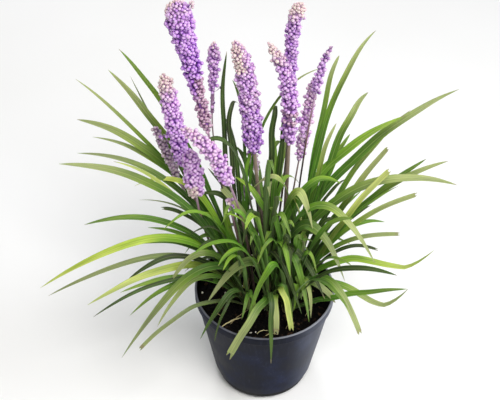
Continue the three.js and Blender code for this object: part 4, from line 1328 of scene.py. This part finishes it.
def pot_outline():
    """The pot's section: foot, wall, hollow under the rim band, rim, inner wall and floor."""
    band = POT_HEIGHT - RIM_BAND
    lip = RIM_EASE
    return [
        (0, 0), (DRAIN_START, 0),
        *arc(BASE_RADIUS - CORNER_RADIUS, CORNER_RADIUS, CORNER_RADIUS, -90, -10, 10),
        *[(wall_radius(z), z) for z in np.linspace(16, band - 1.2, 12)],
        *arc(wall_radius(band) + RIM_HOLLOW, band - 0.2, RIM_HOLLOW, 180, 100, 4),
        *arc(RIM_RADIUS - RIM_EDGE, band + RIM_EDGE, RIM_EDGE, -70, 0, 5),
        (RIM_RADIUS + RIM_FLARE / 2, POT_HEIGHT - RIM_BAND / 2),
        *arc(RIM_RADIUS + RIM_FLARE - lip, POT_HEIGHT - lip, lip, 0, 90, 6),
        *arc(inner_radius(POT_HEIGHT) + lip / 2, POT_HEIGHT - lip / 2, lip / 2, 90, 180, 5),
        *[(inner_radius(z), z) for z in np.linspace(POT_HEIGHT - lip, CORNER_RADIUS, 10)],
        *arc(inner_radius(FLOOR) - FLOOR_FILLET, FLOOR + FLOOR_FILLET, FLOOR_FILLET, -5, -90, 6),
        (0, FLOOR),
    ]


def cut(piece, cutter):
    modifier = piece.modifiers.new("cut", "BOOLEAN")
    modifier.operation = "DIFFERENCE"
    modifier.solver = "EXACT"
    modifier.object = cutter
    return baked(piece, cutter)


def drain_cutters():
    """Slots across the foot, and a hole through the floor for each."""
    slots, holes = bmesh.new(), bmesh.new()
    length = BASE_RADIUS + DRAIN_WIDTH - DRAIN_START
    reach = BASE_RADIUS - CORNER_RADIUS - DRAIN_HOLE - 1
    for i in range(DRAINS):
        angle = math.radians(270 + 360 * i / DRAINS)
        cosine, sine = math.cos(angle), math.sin(angle)
        for corner in bmesh.ops.create_cube(slots, size=1)["verts"]:
            x = DRAIN_START + length / 2 + corner.co.x * length
            y = corner.co.y * DRAIN_WIDTH
            corner.co = ((x * cosine - y * sine) * MM, (x * sine + y * cosine) * MM,
                         corner.co.z * 2 * DRAIN_DEPTH * MM)
        hole = bmesh.ops.create_cone(
            holes, cap_ends=True, segments=20, radius1=DRAIN_HOLE * MM, radius2=DRAIN_HOLE * MM, depth=8 * MM)
        middle = (reach * cosine * MM, reach * sine * MM, (DRAIN_DEPTH + 1) * MM)
        bmesh.ops.translate(holes, verts=hole["verts"], vec=middle)
    return from_bmesh("drain_cutter", slots), from_bmesh("hole_cutter", holes)


def finished(piece, material, degrees):
    """Gives a piece its material, and smooth shading that keeps edges sharper than the angle."""
    piece.data.materials.clear()
    piece.data.materials.append(material)
    piece.data.shade_smooth()
    piece.data.set_sharp_from_angle(angle=math.radians(degrees))
    return piece


def build_pot(material):
    pot = lathe("pot_shell", pot_outline(), POT_SIDES)
    for cutter in drain_cutters():
        pot = cut(pot, cutter)
    return dressed(finished(pot, material, 32), "pot")


def soil_ground():
    """The crumbly top and the plain sides of the potting mix."""
    rings, sides = 46, 150
    edge = inner_radius(SOIL_TOP) - SOIL_GAP
    points = [(0, 0, soil_height(0, 0))]
    for k in range(1, rings + 1):
        for x, y in circle(edge * k / rings, sides):
            rough = fine_draws.uniform(-SOIL_ROUGHNESS, SOIL_ROUGHNESS) if k < rings else 0
            points.append((x, y, soil_height(x, y) + rough))
    below = ((inner_radius(60), 60), (inner_radius(CORNER_RADIUS), CORNER_RADIUS + 0.5),
             (inner_radius(FLOOR) - FLOOR_FILLET, FLOOR + 0.3))
    for r, z in below:
        points += [(x, y, z) for x, y in circle(r - SOIL_GAP, sides)]
    last = len(points) - sides
    points.append((0, 0, FLOOR + 0.3))
    faces = [(0, 1 + i, 1 + (i + 1) % sides) for i in range(sides)]
    faces += ring_faces(1, rings + len(below) - 1, sides)
    faces += [(last + i, len(points) - 1, last + (i + 1) % sides) for i in range(sides)]
    return mesh_object("soil_ground", points, faces=faces)


def disc(name, low, high):
    """A ring of soil top to scatter on."""
    sides, rings = 60, 12
    spots = [spot for k in range(rings + 1) for spot in circle(low + (high - low) * k / rings, sides)]
    points = [(x, y, soil_height(x, y)) for x, y in spots]
    return mesh_object(name, points, faces=ring_faces(0, rings, sides))


def straws(sweep, material):
    """Dry straws and a torn pale bit that lie on the soil."""
    lines = []
    for start, end, width, kind in STRAWS:
        points = []
        for t in np.linspace(0, 1, 9):
            bow = math.sin(math.pi * t)
            x = start[0] + (end[0] - start[0]) * t + fine_draws.uniform(-0.3, 0.3)
            y = start[1] + (end[1] - start[1]) * t + fine_draws.uniform(-0.3, 0.3) + 1.5 * bow
            points.append((x, y, SOIL_TOP + 1.6 + 0.8 * bow))
        strap = strap_line(np.array(points), width / 2 * np.sin(np.linspace(0.5, 2.7, 9)), 0.5)
        line = {key: strap[key] for key in ("points", "side", "half_width")}
        lines.append({**line, "kind": np.full(9, kind)})
    return grown(lines_object("straws", lines), sweep, {"Section Points": 8, "Material": material})


def strewn(ground, bits, scatter, material):
    """Loose bits all over a piece of ground."""
    density, smallest, largest, low, high, seed = bits
    return grown(ground, scatter, {
        "Density": density, "Smallest": smallest * MM, "Largest": largest * MM, "Kind Low": low,
        "Kind High": high, "Seed": seed, "Material": material})


def lump_ground():
    """A tiny face for each white lump at its own place."""
    points = []
    for (x, y), size in WHITE_LUMPS:
        z = soil_height(x, y) + 0.8
        points += [(x, y, z), (x + size * 1.6, y, z), (x, y + size * 1.6, z)]
    faces = [(i, i + 1, i + 2) for i in range(0, len(points), 3)]
    return mesh_object("white_lumps", points, faces=faces)


def build_soil(scatter, sweep, ground_material, bit_material):
    edge = inner_radius(SOIL_TOP) - STREWN_EDGE
    parts = [finished(soil_ground(), ground_material, 60)]
    for name, bits in SOIL_BITS.items():
        parts.append(strewn(disc(name, STREWN_FROM, edge), bits, scatter, bit_material))
    parts.append(strewn(lump_ground(), LUMP_BITS, scatter, bit_material))
    parts.append(straws(sweep, bit_material))
    return dressed(merged("potting_mix", parts), "soil")


# ---------------------------------------------------------------- stage, lights and camera


def camera():
    data = bpy.data.cameras.new("camera")
    data.lens = CAMERA_LENS
    data.sensor_width = 36
    eye = link(bpy.data.objects.new("camera", data))
    pitch, yaw, roll = (math.radians(degrees) for degrees in CAMERA_TURNS)
    forward = np.array([math.sin(yaw) * math.cos(pitch), math.cos(yaw) * math.cos(pitch), -math.sin(pitch)])
    level = np.array([math.cos(yaw), -math.sin(yaw), 0.0])
    above = np.cross(level, forward)
    right = level * math.cos(roll) - above * math.sin(roll)
    up = level * math.sin(roll) + above * math.cos(roll)
    rows = [[right[i], up[i], -forward[i], CAMERA_PLACE[i] * MM] for i in range(3)]
    eye.matrix_world = mathutils.Matrix([*rows, [0, 0, 0, 1]])
    bpy.context.scene.camera = eye


def area_light(name, spot, target, size, power, tint):
    data = bpy.data.lights.new(name, "AREA")
    data.shape = "DISK"
    data.size = size
    data.energy = power
    data.color = tint
    lamp = link(bpy.data.objects.new(name, data))
    lamp.location = spot
    way = mathutils.Vector(target) - mathutils.Vector(spot)
    lamp.rotation_euler = way.to_track_quat("-Z", "Y").to_euler()


def stage():
    corners = [(x * FLOOR_REACH, y * FLOOR_REACH, 0) for x, y in ((-1, -1), (1, -1), (1, 1), (-1, 1))]
    floor = mesh_object("floor", corners, faces=[(0, 1, 2, 3)])
    material, tree, shader = new_material("floor", 0.9, 0.1)
    paper = noise(tree, place(tree), 3.0, 2.0)
    tree.links.new(ramp(tree, paper, {0.3: "#f4f4f3", 0.7: "#f8f8f8"}), shader.inputs["Base Color"])
    floor.data.materials.append(material)
    for light in LIGHTS:
        area_light(*light)
    world = bpy.data.worlds.new("studio")
    world.use_nodes = True
    background = world.node_tree.nodes["Background"]
    for label, value in (("Color", SKY_TINT), ("Strength", SKY_STRENGTH)):
        background.inputs[label].default_value = value
    bpy.context.scene.world = world
    bpy.context.scene.view_settings.view_transform = "Standard"


# ---------------------------------------------------------------- the whole plant


def build_all():
    sweep, cover, scatter = sweep_tree(), bud_tree(), crumb_tree()
    leaf, stalk, bud = leaf_material(), stalk_material(), bud_material()
    pot = build_pot(pot_material())
    soil = build_soil(scatter, sweep, soil_material(), bits_material())
    placed = place_blades()
    for name, tufts in CLUMPS.items():
        build_clump(name, tufts, placed, sweep, leaf)
    for name, spike in SPIKES.items():
        build_stalk(name, spike, sweep, stalk)
        build_head(name, spike, sweep, cover, bud)


build_all()
stage()
camera()
